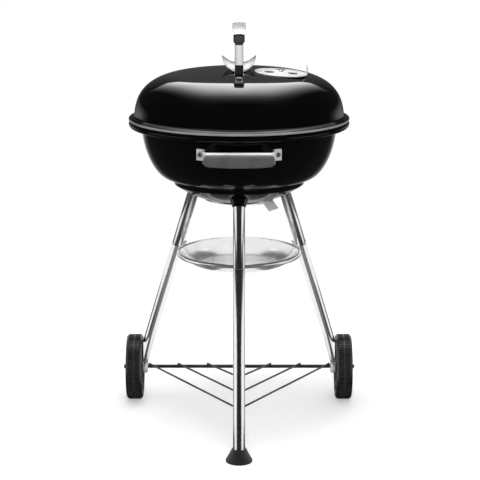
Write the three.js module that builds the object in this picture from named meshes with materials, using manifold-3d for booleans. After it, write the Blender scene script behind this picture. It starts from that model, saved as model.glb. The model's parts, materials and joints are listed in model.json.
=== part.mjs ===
// Kettle charcoal grill with a lift-off lid, three tube legs, an ash dish, a wire rack and two wheels.
// Millimetres, +Z up, front towards -Y. The floor is z = 0, and the origin is on the floor under the
// middle of the grill's footprint. Inside the top group the kettle's own axis is x = 0, y = 0.

import * as THREE from "three";
import { mergeVertices } from "three/addons/utils/BufferGeometryUtils.js";
import Module from "manifold-3d";

const wasm = await Module();
wasm.setup();

// ---------------------------------------------------------------- driving dimensions

const GAP = 0.35; // clearance kept between pieces that touch
const SHEET = 1.6; // enamelled steel of the lid and bowl
const ROUND = 32; // segments round the large revolved pieces

const RIM_RADIUS = 241.5;
const RIM_PLANE = 681.6; // where the lid's bead rests over the bowl's bead
const LID = { wall: 230, base: 650.3, rise: 141, power: 3.53, bead: 7 };
const BOWL = { wall: 213, wallTop: 668, power: 1.7, bead: 6.6, bottom: 497, dish: 250 };
const LEDGE = { radius: 158, height: 557 }; // foot of the bowl's side, where the step goes in
const STEP_RADIUS = 143; // foot of the step, where the round bottom starts

const TUBE = { radius: 12.7, wall: 1.5 }; // 25.4 mm leg tube
const LEG_SPREAD = 292.4; // distance of a leg's centre line from the kettle axis at the floor
const LEG_SLOPE = 0.341; // how far it comes in for each millimetre up
const SOCKET_END = 511; // height of a socket's lower end on the leg's centre line
const SEAM = 383.5; // joint between a leg's upper and lower tube
const LEGS = { front: -90, right: 30, left: 150 }; // azimuth of each leg in degrees
const LEG_SIDES = 14; // facets round a leg tube
const SLEEVE = 40; // length of the lower tube's narrowed end inside the upper tube

const WHEEL = { radius: 76.1, width: 36.5, centre: 244.2, bore: 4.35 };
const AXLE_RADIUS = 4;
const LEG_CUT = 223.3; // plane that trims the rear legs beside the wheels
const DISH = { radius: 138.5, height: 383, depth: 26, bead: 5 };
// The rack's V rods: how far along Y each tip reaches, and how far apart its two ends are hooked.
const RACK = { wire: 2, centreWire: 2.2, tips: [-192, -82, 32], spreads: [211, 143, 74] };
const RACK_HOOK = AXLE_RADIUS + GAP + RACK.centreWire; // radius of the hooks round the axle
const HANDLE_FOOT = { start: 124, end: 162, bolt: 144 }; // along Y, from the kettle axis
const DAMPER = { x: 90, y: -37, radius: 57, hole: 11, holeRing: 29, tabWidth: 20, tabHeight: 18.5 };
const GRATES = { cooking: 646.4, charcoal: 568 }; // height of each grate's rods
const VENT = { radius: 78, inner: 26, outer: 66, sweep: 40 }; // ash vents in the bowl's bottom

const legRadiusAt = (z) => LEG_SPREAD - LEG_SLOPE * z;
const rad = THREE.MathUtils.degToRad;
const AXLE = { z: WHEEL.radius, y: legRadiusAt(WHEEL.radius) * Math.sin(rad(LEGS.right)) };

// ---------------------------------------------------------------- materials

function finish(color, roughness, metalness) {
  return () => new THREE.MeshStandardMaterial({ color, roughness, metalness });
}

const enamel = finish(0x0c0c0d, 0.08, 0.0);
const chrome = finish(0xc9cacc, 0.16, 1.0);
const aluminium = finish(0xb9babb, 0.34, 1.0);
const steel = finish(0x8e9093, 0.3, 1.0);
const nylon = finish(0x2b2c2e, 0.5, 0.0);
const plastic = finish(0x17181a, 0.55, 0.0);
const blackWire = finish(0x101011, 0.4, 0.2);
const platedWire = finish(0x9b9da0, 0.3, 1.0);
const rawSteel = finish(0x6d6f72, 0.5, 0.9);

// ---------------------------------------------------------------- geometry helpers

// Keeps positions only, joins equal vertices and drops the triangles that this flattens.
function weld(geometry) {
  const bare = geometry.clone();
  bare.deleteAttribute("normal");
  bare.deleteAttribute("uv");
  const merged = mergeVertices(bare, 1e-4);
  const index = merged.index.array;
  const kept = [];
  for (let i = 0; i < index.length; i += 3) {
    const [a, b, c] = [index[i], index[i + 1], index[i + 2]];
    if (a !== b && b !== c && c !== a) kept.push(a, b, c);
  }
  merged.setIndex(kept);
  return outward(merged);
}

// Turns every face round when the surface encloses a negative volume.
function outward(geometry) {
  const p = geometry.attributes.position;
  const index = Array.from(geometry.index.array);
  const corner = (k) => new THREE.Vector3().fromBufferAttribute(p, index[k]);
  let volume = 0;
  for (let i = 0; i < index.length; i += 3) {
    volume += corner(i).dot(corner(i + 1).cross(corner(i + 2)));
  }
  if (volume < 0) {
    for (let i = 0; i < index.length; i += 3) [index[i], index[i + 1]] = [index[i + 1], index[i]];
    geometry.setIndex(index);
  }
  return geometry;
}

function toManifold(geometry) {
  const welded = weld(geometry);
  return new wasm.Manifold(new wasm.Mesh({
    numProp: 3,
    vertProperties: new Float32Array(welded.attributes.position.array),
    triVerts: new Uint32Array(welded.index.array),
  }));
}

function fromManifold(manifold) {
  const mesh = manifold.getMesh();
  const geometry = new THREE.BufferGeometry();
  const positions = new Float32Array(mesh.vertProperties);
  geometry.setAttribute("position", new THREE.BufferAttribute(positions, 3));
  geometry.setIndex(new THREE.BufferAttribute(new Uint32Array(mesh.triVerts), 1));
  return geometry;
}

function cut(body, ...tools) {
  return fromManifold(tools.reduce((rest, tool) => rest.subtract(toManifold(tool)), toManifold(body)));
}

function join(first, ...others) {
  return fromManifold(others.reduce((sum, other) => sum.add(toManifold(other)), toManifold(first)));
}

// Revolves [radius, height] pairs round the Z axis.
function revolve(profile, segments = ROUND) {
  const points = profile.map(([r, z]) => new THREE.Vector2(Math.max(r, 0), z));
  return new THREE.LatheGeometry(points, segments).rotateX(Math.PI / 2);
}

// Revolves a closed outline that stays off the axis, such as a ring's section.
function revolveRing(outline, segments = ROUND) {
  return revolve([...outline, outline[0]], segments);
}

// Points of a superellipse quarter from its top (90 degrees) down to its side (0 degrees).
function superellipse(rx, rz, power, fromDegrees, toDegrees, steps) {
  const points = [];
  for (let i = 0; i <= steps; i++) {
    const a = rad(fromDegrees + ((toDegrees - fromDegrees) * i) / steps);
    points.push([rx * Math.abs(Math.cos(a)) ** (2 / power), rz * Math.abs(Math.sin(a)) ** (2 / power)]);
  }
  return points;
}

function arc(cx, cy, radius, fromDegrees, toDegrees, steps) {
  const points = [];
  for (let i = 0; i <= steps; i++) {
    const a = rad(fromDegrees + ((toDegrees - fromDegrees) * i) / steps);
    points.push([cx + radius * Math.cos(a), cy + radius * Math.sin(a)]);
  }
  return points;
}

// Moves a polyline sideways by a distance, to its left when walked from first to last.
function offsetLine(points, distance) {
  return points.map((point, i) => {
    const before = points[Math.max(i - 1, 0)];
    const after = points[Math.min(i + 1, points.length - 1)];
    const here = new THREE.Vector2(...point);
    const into = new THREE.Vector2(...point).sub(new THREE.Vector2(...before));
    const out = new THREE.Vector2(...after).sub(here);
    if (into.lengthSq() === 0) into.copy(out);
    if (out.lengthSq() === 0) out.copy(into);
    const n1 = new THREE.Vector2(-into.y, into.x).normalize();
    const n2 = new THREE.Vector2(-out.y, out.x).normalize();
    const mitre = n1.clone().add(n2).normalize();
    const shift = distance / mitre.dot(n1);
    return [point[0] + mitre.x * shift, point[1] + mitre.y * shift];
  });
}

// A closed outline of even thickness along a centre line.
function band(centreLine, thickness) {
  const left = offsetLine(centreLine, thickness / 2);
  const right = offsetLine(centreLine, -thickness / 2);
  return [...left, ...right.reverse()];
}

function shapeOf(outline) {
  return new THREE.Shape(outline.map(([x, y]) => new THREE.Vector2(x, y)));
}

function extrude(outline, depth) {
  return new THREE.ExtrudeGeometry(shapeOf(outline), { depth, bevelEnabled: false });
}

// Extrudes an outline given as [y, z] pairs along X, centred on x = 0.
function extrudeAcross(outline, width) {
  const geometry = extrude(outline, width);
  geometry.translate(0, 0, -width / 2);
  return geometry.applyMatrix4(new THREE.Matrix4().makeBasis(
    new THREE.Vector3(0, 1, 0), new THREE.Vector3(0, 0, 1), new THREE.Vector3(1, 0, 0)));
}

function rod(radius, fromZ, toZ, sides = 16) {
  const geometry = new THREE.CylinderGeometry(radius, radius, toZ - fromZ, sides);
  return geometry.rotateX(Math.PI / 2).translate(0, 0, (fromZ + toZ) / 2);
}

// A round rod lying along X.
function rodAlongX(radius, fromX, toX, sides = 16) {
  return rod(radius, fromX, toX, sides).rotateY(Math.PI / 2);
}

function box(width, depth, height) {
  return new THREE.BoxGeometry(width, depth, height);
}

// Joins equal rings of points, listed in order along the body, into one closed skin.
function skin(rings) {
  const n = rings[0].length;
  const positions = rings.flat().flatMap((p) => [p.x, p.y, p.z]);
  const index = [];
  for (let r = 0; r + 1 < rings.length; r++) {
    for (let i = 0; i < n; i++) {
      const j = (i + 1) % n;
      const [a, b, c, d] = [r * n + i, r * n + j, (r + 1) * n + i, (r + 1) * n + j];
      index.push(a, b, d, a, d, c);
    }
  }
  const last = (rings.length - 1) * n;
  const ends = THREE.ShapeUtils.triangulateShape(flatten(rings[0]), []);
  for (const [a, b, c] of ends) index.push(a, c, b);
  const lastEnds = THREE.ShapeUtils.triangulateShape(flatten(rings[rings.length - 1]), []);
  for (const [a, b, c] of lastEnds) index.push(last + a, last + b, last + c);
  const geometry = new THREE.BufferGeometry();
  geometry.setAttribute("position", new THREE.Float32BufferAttribute(positions, 3));
  geometry.setIndex(index);
  return geometry;
}

// Lays a flat ring of points out in its own plane, for triangulating it.
function flatten(ring) {
  const normal = new THREE.Vector3();
  for (let i = 0; i < ring.length; i++) {
    normal.add(ring[i].clone().cross(ring[(i + 1) % ring.length]));
  }
  normal.normalize();
  const u = ring[1].clone().sub(ring[0]).normalize();
  const v = normal.clone().cross(u);
  return ring.map((p) => new THREE.Vector2(p.dot(u), p.dot(v)));
}

// A round wire along straight runs between points, mitred at each bend.
function wire(points, radius, sides = 5) {
  const path = points.map(([x, y, z]) => new THREE.Vector3(x, y, z));
  const direction = (i) => path[i + 1].clone().sub(path[i]).normalize();
  let across = new THREE.Vector3(0, 0, 1);
  if (Math.abs(direction(0).z) > 0.7) across.set(1, 0, 0);
  const rings = path.map((centre, i) => {
    const into = direction(Math.max(i - 1, 0));
    const out = direction(Math.min(i, path.length - 2));
    const mitre = into.clone().add(out).normalize();
    across.sub(into.clone().multiplyScalar(across.dot(into))).normalize();
    const up = into.clone().cross(across);
    return Array.from({ length: sides }, (_, k) => {
      const a = (2 * Math.PI * (k + 0.5)) / sides;
      const spoke = across.clone().multiplyScalar(Math.cos(a)).addScaledVector(up, Math.sin(a));
      spoke.multiplyScalar(radius);
      return centre.clone().add(spoke).addScaledVector(into, -spoke.dot(mitre) / into.dot(mitre));
    });
  });
  return skin(rings);
}

// A sheet over a grid: at(u, v) gives its lower surface, and the sheet is that plus a thickness in Z.
function panel(us, vs, at, thickness) {
  const rings = us.map((u) => {
    const lower = vs.map((v) => at(u, v));
    const upper = lower.map((p) => p.clone().setZ(p.z + thickness)).reverse();
    return [...lower, ...upper];
  });
  return skin(rings);
}

function evenSteps(from, to, steps) {
  return Array.from({ length: steps + 1 }, (_, i) => from + ((to - from) * i) / steps);
}

function mesh(name, geometry, material) {
  const piece = new THREE.Mesh(weld(geometry), material());
  piece.name = name;
  return piece;
}

// ---------------------------------------------------------------- kettle outlines

function lidHeight(r) {
  return LID.base + LID.rise * (1 - (r / LID.wall) ** LID.power) ** (1 / LID.power);
}

function lidSlope(r) {
  return lidHeight(r + 0.5) - lidHeight(r - 0.5);
}

function bowlBottomHeight(r) {
  return BOWL.bottom + BOWL.dish - Math.sqrt(BOWL.dish ** 2 - r ** 2);
}

// Outside of the bowl from the middle of its bottom up to the flange.
function bowlOutside() {
  const bottom = evenSteps(0, STEP_RADIUS, 3).map((r) => [r, bowlBottomHeight(r)]);
  const reach = BOWL.wall - LEDGE.radius;
  const rise = BOWL.wallTop - LEDGE.height;
  const side = superellipse(reach, rise, BOWL.power, 90, 0, 5)
    .map(([r, z]) => [LEDGE.radius + r, BOWL.wallTop - z]);
  return [...bottom, ...side];
}

// The space that the bowl fills, grown by a clearance, for trimming what meets it from below.
function bowlSpace(clearance) {
  const outside = offsetLine(bowlOutside(), -clearance);
  outside[0] = [0, BOWL.bottom - clearance];
  return revolve([...outside, [0, BOWL.wallTop]]);
}

// ---------------------------------------------------------------- lid

const HANDLE_ANGLES = { front: -90, rear: 90 };

// Stands a group on the lid at a distance and azimuth from the kettle axis, its Z along the lid's normal.
function onLid(distance, azimuthDegrees) {
  const turn = new THREE.Group();
  turn.rotation.z = rad(azimuthDegrees);
  const seat = new THREE.Group();
  seat.position.set(distance, 0, lidHeight(distance));
  seat.rotation.y = -Math.atan(lidSlope(distance));
  turn.add(seat);
  turn.updateMatrixWorld(true);
  return { turn, seat };
}

function damperSeat() {
  const distance = Math.hypot(DAMPER.x, DAMPER.y);
  return onLid(distance, THREE.MathUtils.radToDeg(Math.atan2(DAMPER.y, DAMPER.x)));
}

// The damper's holes sit at the back and at the two front sides, whatever way its seat is turned.
function damperHolePlaces() {
  const turned = Math.atan2(DAMPER.y, DAMPER.x);
  return [90, 210, 330].map((a) => {
    const angle = rad(a) - turned;
    return [DAMPER.holeRing * Math.cos(angle), DAMPER.holeRing * Math.sin(angle)];
  });
}

function lidShell() {
  const dome = superellipse(LID.wall, LID.rise, LID.power, 90, 10, 9).map(([r, z]) => [r, LID.base + z]);
  const beadX = RIM_RADIUS - LID.bead;
  const beadZ = RIM_PLANE + GAP + LID.bead;
  const bead = arc(beadX, beadZ, LID.bead, 70, -150, 4);
  const inside = superellipse(LID.wall - SHEET, LID.rise - SHEET, LID.power, 12, 90, 6)
    .map(([r, z]) => [r, LID.base + z]);
  inside[inside.length - 1][0] = 0;
  dome[0][0] = 0;
  const wallFoot = [[LID.wall - 1, beadZ + 10.5], [LID.wall + 0.6, beadZ + LID.bead + 0.9]];
  const innerFoot = [[LID.wall - 1 - SHEET, beadZ + 8]];
  const shell = revolve([...dome, ...wallFoot, ...bead, ...innerFoot, ...inside]);
  const { seat } = damperSeat();
  const holes = damperHolePlaces().map(([x, y]) =>
    rod(DAMPER.hole - 1.5, -30, 30, 12).translate(x, y, 0).applyMatrix4(seat.matrixWorld));
  holes.push(rod(2.9, -20, 20).applyMatrix4(seat.matrixWorld));
  for (const azimuth of Object.values(HANDLE_ANGLES)) {
    holes.push(rod(3.3, -20, 20).applyMatrix4(onLid(HANDLE_FOOT.bolt, azimuth).seat.matrixWorld));
  }
  return mesh("lid_shell", cut(shell, ...holes), enamel);
}

// The heat shield's plate arches over the crown: crown is its height above the lid there, foot is
// how far along Y it comes down to the lid, and curl is how far its two tips turn up.
const SHIELD = { halfWidth: 37.3, crown: 13, foot: 56, curl: 17, sheet: 1, over: 0.75 };
// Half of its outline as [distance along Y, half width], from its widest line to the end of a tongue.
const SHIELD_OUTLINE = [[0, 37.3], [11, 36.8], [21, 35.5], [31, 33.8], [41, 30.6], [47, 25.5], [51, 17.5],
  [56, 12.4], [66, 9.8], [80, 9.2], [92, 10.2], [98, 11.3], [106, 9], [124, 9], [140, 9], [156, 9]];
// The strap stands up from its foot to a bend at [distance along Y, height], then leans in to the grip.
const STRAP = { width: 18, thickness: 3, bend: [121.5, 813] };

// Height of the handle strap's or heat shield's underside where it lies on the lid.
function onCrown(y, above) {
  return [y, lidHeight(Math.abs(y)) + above];
}

const GRIP = { halfLength: 96, width: 24, crest: 888, sag: 12.5, depth: 19 };
const gripTop = (y) => GRIP.crest - GRIP.sag * (y / GRIP.halfLength) ** 2;

function lidStrapLine() {
  const above = GAP * 2 + SHIELD.sheet + STRAP.thickness / 2 + 0.4;
  const foot = evenSteps(HANDLE_FOOT.end, HANDLE_FOOT.start, 3).map((y) => onCrown(y, above));
  const top = [85, 60, 30].map((y) => [y, gripTop(y) - GRIP.depth / 2]);
  const half = [...foot, STRAP.bend, [88, gripTop(88) - GRIP.depth], ...top];
  const mirrored = half.map(([y, z]) => [-y, z]).reverse();
  return [...half, ...mirrored];
}

function boltHoles(radius) {
  return Object.values(HANDLE_ANGLES).map((azimuth) =>
    rod(radius, -20, 20).applyMatrix4(onLid(HANDLE_FOOT.bolt, azimuth).seat.matrixWorld));
}

function lidHandleStrap() {
  const strap = extrudeAcross(band(lidStrapLine(), STRAP.thickness), STRAP.width);
  return mesh("lid_handle_strap", cut(strap, ...boltHoles(3.3)), steel);
}

function lidHandleGrip() {
  const ys = evenSteps(-GRIP.halfLength, GRIP.halfLength, 8);
  const corner = 4;
  const half = GRIP.width / 2;
  const rings = ys.map((y) => {
    const end = Math.abs(y) === GRIP.halfLength ? 2.5 : 0;
    const [top, low] = [gripTop(y) - end, gripTop(y) - GRIP.depth + end];
    const [wide, narrow] = [half - end, half - end - corner];
    const outline = [[-narrow, low], [narrow, low], [wide, low + corner], [wide, top - 1.5],
      [wide - 1.5, top], [1.5 - wide, top], [-wide, top - 1.5], [-wide, low + corner]];
    return outline.map(([x, z]) => new THREE.Vector3(x, y, z));
  });
  const slot = extrudeAcross(band(lidStrapLine(), STRAP.thickness + 2 * GAP), STRAP.width + 2 * GAP);
  return mesh("lid_handle_grip", cut(skin(rings), slot), nylon);
}

function lidHandleCap() {
  const reach = GRIP.halfLength + 1.5;
  const halfWidth = (y) => 11.2 + 3.5 * Math.sqrt(Math.max(0, 1 - (y / (reach + 2)) ** 2));
  const at = (y, v) => {
    const crown = 1.6 * (1 - v * v);
    return new THREE.Vector3(v * halfWidth(y), y, gripTop(y) + GAP + crown);
  };
  const ys = evenSteps(-reach, reach, 8);
  return mesh("lid_handle_cap", panel(ys, [-1, -0.6, 0, 0.6, 1], at, 1.8), chrome);
}

// Thin plate under the handle that keeps the hand cool, with a tongue to the bolt at each end.
function heatShield() {
  const at = ([along, half], v) => {
    const far = Math.abs(along);
    const arch = SHIELD.crown * (1 - THREE.MathUtils.smoothstep(far, 0, SHIELD.foot));
    const flat = THREE.MathUtils.smoothstep(far, SHIELD.foot, HANDLE_FOOT.start);
    const curl = SHIELD.curl * ((v * half) / SHIELD.halfWidth) ** 2 * (1 - flat);
    return new THREE.Vector3(v * half, along, lidHeight(far) + SHIELD.over + arch + curl);
  };
  const behind = SHIELD_OUTLINE.slice(1);
  const front = behind.map(([along, half]) => [-along, half]).reverse();
  const outline = [...front, SHIELD_OUTLINE[0], ...behind];
  const sheet = panel(outline, [-1, -0.7, -0.35, 0, 0.35, 0.7, 1], at, SHIELD.sheet);
  return mesh("lid_heat_shield", cut(sheet, ...boltHoles(3.5)), aluminium);
}

// Pan-head screw down through the handle's foot, the heat shield and the lid, and its nut inside.
function handleBolt(place, azimuth) {
  const { turn, seat } = onLid(HANDLE_FOOT.bolt, azimuth);
  const headSeat = GAP * 3 + SHIELD.sheet + STRAP.thickness + 1.2;
  const screw = revolve([[0, headSeat + 3.4], [3, headSeat + 3.1], [5.4, headSeat + 1.6],
    [6, headSeat], [3, headSeat], [3, -11], [0, -11]], 12);
  const nutTop = -SHEET - GAP - 1.2;
  const nut = cut(rod(5.8, nutTop - 5, nutTop, 6), rod(3.3, -20, 0, 12));
  seat.add(mesh(`lid_handle_screw_${place}`, screw, steel));
  seat.add(mesh(`lid_handle_nut_${place}`, nut, steel));
  return turn;
}

function lidDamper() {
  const { turn, seat } = damperSeat();
  const lift = 0.9;
  const dome = (r) => lift + 2 * (1 - (r / DAMPER.radius) ** 2);
  const radii = [2.9, 30, DAMPER.radius];
  const lower = radii.map((r) => [r, dome(r) - 2]);
  const upper = radii.map((r) => [r, dome(r) - 0.6]).reverse();
  const disc = revolveRing([...lower, ...upper], 24);
  const turned = -Math.atan2(DAMPER.y, DAMPER.x);
  const tab = box(1.4, DAMPER.tabWidth, DAMPER.tabHeight + 1);
  tab.translate(DAMPER.radius - 1.2, 0, DAMPER.tabHeight / 2 - 0.5).rotateZ(turned);
  const holes = damperHolePlaces().map(([x, y]) => rod(DAMPER.hole, -10, 10, 12).translate(x, y, 0));
  seat.add(mesh("lid_damper", cut(join(disc, tab), ...holes), aluminium));
  const head = lift + 2;
  const rivet = revolve([[0, head + 2.6], [3.6, head + 1.9], [5, head], [2.5, head - 0.2], [2.5, -6],
    [4.6, -6], [4.2, -8], [0, -8]], 12);
  seat.add(mesh("lid_damper_rivet", rivet, steel));
  return turn;
}

function lid() {
  const group = new THREE.Group();
  group.add(lidShell(), lidHandleStrap(), lidHandleGrip(), lidHandleCap(), heatShield(), lidDamper());
  for (const [place, azimuth] of Object.entries(HANDLE_ANGLES)) group.add(handleBolt(place, azimuth));
  return group;
}

// ---------------------------------------------------------------- bowl

function ventSlot(middleDegrees, inner, outer) {
  const halfSweep = VENT.sweep / 2;
  const outline = [
    ...arc(0, 0, outer, middleDegrees - halfSweep, middleDegrees + halfSweep, 3),
    ...arc(0, 0, inner, middleDegrees + halfSweep, middleDegrees - halfSweep, 2),
  ];
  return extrude(outline, 60).translate(0, 0, BOWL.bottom - 20);
}

function bowlShell() {
  const outside = bowlOutside();
  const inside = offsetLine(outside, SHEET).reverse();
  inside[inside.length - 1] = [0, BOWL.bottom + SHEET];
  inside[0] = [BOWL.wall - SHEET, BOWL.wallTop];
  const beadX = RIM_RADIUS - BOWL.bead;
  const beadZ = RIM_PLANE - BOWL.bead;
  const flangeUnder = [[BOWL.wall + 1.5, beadZ - 5], [BOWL.wall + 5, beadZ - 4]];
  const flangeOver = [[BOWL.wall + 5, beadZ - 4 + SHEET], [BOWL.wall + 0.4, beadZ - 4.6 + SHEET]];
  const bead = arc(beadX, beadZ, BOWL.bead, -140, 180, 5);
  const shell = revolve([...outside, ...flangeUnder, ...bead, ...flangeOver, ...inside]);
  const slots = [90, 210, 330].map((a) => ventSlot(a, VENT.inner, VENT.outer));
  const screwHoles = [-1, 1].map((side) => handleScrewHole(side));
  return mesh("bowl_shell", cut(shell, rod(3.4, 480, 520), ...slots, ...screwHoles), enamel);
}

const FRONT_HANDLE = { z: 638, width: 24, sheet: 2.6, footSpread: 80, corner: 70, reach: 252, seat: 212 };

// Half of the front handle's strap seen from above, from its foot on the bowl to the middle.
function frontStrapLine() {
  const wall = FRONT_HANDLE.seat + GAP + FRONT_HANDLE.sheet / 2 + 0.7;
  const onWall = (x) => [x, -Math.sqrt(wall ** 2 - x ** 2)];
  const half = [onWall(FRONT_HANDLE.footSpread + 8), onWall(FRONT_HANDLE.footSpread - 9),
    [FRONT_HANDLE.corner + 3, -FRONT_HANDLE.reach + 9], [FRONT_HANDLE.corner - 4, -FRONT_HANDLE.reach]];
  return [...half, ...half.map(([x, y]) => [-x, y]).reverse()];
}

function handleScrewPose(side) {
  const x = side * FRONT_HANDLE.footSpread;
  const { seat, z } = FRONT_HANDLE;
  const azimuth = Math.atan2(-Math.sqrt(seat ** 2 - x ** 2), x);
  const pose = new THREE.Group();
  pose.position.set(seat * Math.cos(azimuth), seat * Math.sin(azimuth), z);
  pose.rotation.set(0, Math.PI / 2, azimuth, "ZYX");
  pose.updateMatrixWorld(true);
  return pose;
}

function handleScrewHole(side) {
  return rod(2.8, -20, 20, 12).applyMatrix4(handleScrewPose(side).matrixWorld);
}

function frontHandle() {
  const group = new THREE.Group();
  const low = FRONT_HANDLE.z - FRONT_HANDLE.width / 2;
  const strap = extrude(band(frontStrapLine(), FRONT_HANDLE.sheet), FRONT_HANDLE.width);
  strap.translate(0, 0, low);
  const holes = [-1, 1].map((side) => handleScrewHole(side));
  group.add(mesh("bowl_handle_strap", cut(strap, ...holes), steel));

  const slot = extrude(band(frontStrapLine(), FRONT_HANDLE.sheet + 2 * GAP), FRONT_HANDLE.width + 40)
    .translate(0, 0, low - GAP);
  const outline = (halfLength, halfHeight, round) => [
    ...arc(halfLength - round, halfHeight - round, round, 0, 90, 3),
    ...arc(round - halfLength, halfHeight - round, round, 90, 180, 3),
    ...arc(round - halfLength, 2 - halfHeight + round, round, 180, 260, 3),
    [0, -halfHeight - 0.8],
    ...arc(halfLength - round, 2 - halfHeight + round, round, 280, 360, 3),
  ];
  const section = (y, inset) => outline(73 - inset, 12.6 - inset, 9 - inset)
    .map(([x, z]) => new THREE.Vector3(x, y, z + FRONT_HANDLE.z - 4.4));
  const front = -FRONT_HANDLE.reach - 13;
  const back = -FRONT_HANDLE.reach + 5;
  const rings = [[front, 3], [front + 1.2, 1], [front + 4, 0], [back, 0]];
  const grip = skin(rings.map(([y, inset]) => section(y, inset)));
  group.add(mesh("bowl_handle_grip", cut(grip, slot), nylon));

  for (const [place, side] of [["left", -1], ["right", 1]]) {
    const pose = handleScrewPose(side);
    const seat = FRONT_HANDLE.sheet + 1.6 + GAP;
    const head = [[0, seat + 3], [4, seat + 2.2], [5, seat]];
    const screw = revolve([...head, [2.5, seat], [2.5, -9], [0, -9]], 12);
    pose.add(mesh(`bowl_handle_screw_${place}`, screw, steel));
    group.add(pose);
  }
  return group;
}

// Bracket inside the bowl that carries the cooking grate's ring.
function grateSupport(name, azimuth) {
  const seat = GRATES.cooking - 5.4;
  const wall = 205.4; // inside of the bowl at that height, less the tab's thickness
  const line = [[wall, seat + 9], [wall, seat], [wall - 16, seat]];
  const tab = extrudeAcross(band(line, 2), 18).rotateZ(rad(azimuth - 90));
  return mesh(name, tab, steel);
}

function bowlFittings() {
  const group = new THREE.Group();
  [45, 135, 225, 315].forEach((azimuth, i) => {
    group.add(grateSupport(`grate_support_${i + 1}`, azimuth));
  });
  return group;
}

// ---------------------------------------------------------------- grates

// Parallel rods in a ring, with two braces welded under the ring a hair below the rods.
function wireGrate(radius, ringWire, rodWire, pitch, braces) {
  const ring = new THREE.TorusGeometry(radius, ringWire, 5, ROUND).translate(0, 0, -rodWire / 2);
  const rods = [];
  const count = Math.floor((radius - pitch * 0.4) / pitch);
  for (let i = -count; i <= count; i++) {
    const reach = Math.sqrt(radius ** 2 - (i * pitch) ** 2);
    rods.push(rodAlongX(rodWire, -reach, reach, 5).translate(0, i * pitch, 0));
  }
  for (const x of braces) {
    const reach = Math.sqrt(radius ** 2 - x ** 2);
    const brace = rodAlongX(rodWire, -reach, reach, 5).rotateZ(Math.PI / 2);
    rods.push(brace.translate(x, 0, -2 * rodWire - 0.2));
  }
  return join(ring, ...rods);
}

function cookingGrate() {
  const piece = mesh("cooking_grate", wireGrate(200, 2.8, 2, 21, [-95, 95]), platedWire);
  piece.position.z = GRATES.cooking;
  return piece;
}

function charcoalGrate() {
  const piece = mesh("charcoal_grate", wireGrate(160, 3.2, 2.6, 30, [-70, 70]), rawSteel);
  piece.position.z = GRATES.charcoal;
  return piece;
}

// ---------------------------------------------------------------- ash vent

// The lever's line in its own plane: where it leaves the plate, where it turns down, and its tip.
const VENT_LEVER = { root: 60, bend: 76, tip: [90, 490], width: 38, azimuth: -33 };

// Turning plate under the bowl, with the lever that turns it.
function ventPlate() {
  const drop = 1;
  const under = (r) => bowlBottomHeight(r) - drop;
  const radii = [3.4, STEP_RADIUS / 4, STEP_RADIUS / 2, VENT.radius];
  const top = radii.map((r) => [r, under(r)]);
  const low = radii.map((r) => [r, under(r) - 1.4]).reverse();
  const plate = revolveRing([...top, ...low], 24);
  const slots = [90, 210, 330].map((a) => ventSlot(a, VENT.inner + 1, VENT.outer + 1));
  const { root, bend, tip, width, azimuth } = VENT_LEVER;
  const arm = band([[root, under(root) - 1.6], [bend, under(bend) - 1.9], tip], 1.8);
  const lever = extrudeAcross(arm, width).rotateZ(rad(azimuth - 90));
  return mesh("vent_plate", join(cut(plate, ...slots), lever), aluminium);
}

function ventRivet() {
  const low = BOWL.bottom - 1 - 1.4 - GAP;
  const top = BOWL.bottom + SHEET + GAP + 0.7;
  const profile = [[0, low - 2.6], [5, low - 1.8], [6.5, low], [2.9, low], [2.9, top], [6, top],
    [5, top + 2], [0, top + 2.4]];
  return mesh("vent_rivet", revolve(profile, 12), steel);
}

// ---------------------------------------------------------------- legs

// Each leg is built in its own frame, where X points away from the kettle axis.
// This is the pose of its centre line at a height, with Z up along the tube.
function legAxis(z) {
  const pose = new THREE.Object3D();
  pose.position.set(legRadiusAt(z), 0, z);
  pose.rotation.y = -Math.atan(LEG_SLOPE);
  pose.updateMatrixWorld(true);
  return pose.matrixWorld;
}

const alongLeg = (height) => height * Math.sqrt(1 + LEG_SLOPE ** 2);

function legSocket(name) {
  const length = alongLeg(45);
  const cone = [[14.8, 0], [15.6, 3], [20.4, 16], [23.8, 34], [24.6, length]];
  const flare = revolve([[0, 0], ...cone, [0, length]], 16);
  const bore = rod(TUBE.radius + GAP, -5, length + 5, LEG_SIDES);
  flare.applyMatrix4(legAxis(SOCKET_END));
  bore.applyMatrix4(legAxis(SOCKET_END));
  return mesh(name, cut(flare, bore, bowlSpace(GAP)), enamel);
}

function upperLeg(name) {
  const { radius, wall } = TUBE;
  const length = alongLeg(SOCKET_END + 40 - SEAM);
  const section = [[radius, 0], [radius, length], [radius - wall, length], [radius - wall, 0]];
  const tube = revolveRing(section, LEG_SIDES).applyMatrix4(legAxis(SEAM));
  return mesh(name, cut(tube, bowlSpace(GAP + 0.4)), chrome);
}

// Lower tube from the seam down, with its narrowed end up inside the upper tube.
function lowerLegTube(lowest) {
  const { radius, wall } = TUBE;
  const length = alongLeg(SEAM - GAP - lowest);
  const narrow = radius - wall - GAP;
  const outline = [[radius, -length], [radius, -1], [radius - 0.8, 0], [narrow, 0.2], [narrow, SLEEVE],
    [narrow - wall, SLEEVE], [narrow - wall, -6], [radius - wall, -10], [radius - wall, -length]];
  return revolveRing(outline, LEG_SIDES).applyMatrix4(legAxis(SEAM - GAP));
}

// Everything beyond a rear leg's trimming plane, in that leg's own frame.
function beyondLegCut(azimuth, plane) {
  const side = Math.sign(Math.cos(rad(azimuth)));
  return box(200, 400, 400).translate(side * (plane + 100), 0, 100).rotateZ(-rad(azimuth));
}

function axleHole(azimuth, radius) {
  return rodAlongX(radius, -300, 300, 10).translate(0, AXLE.y, AXLE.z).rotateZ(-rad(azimuth));
}

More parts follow.
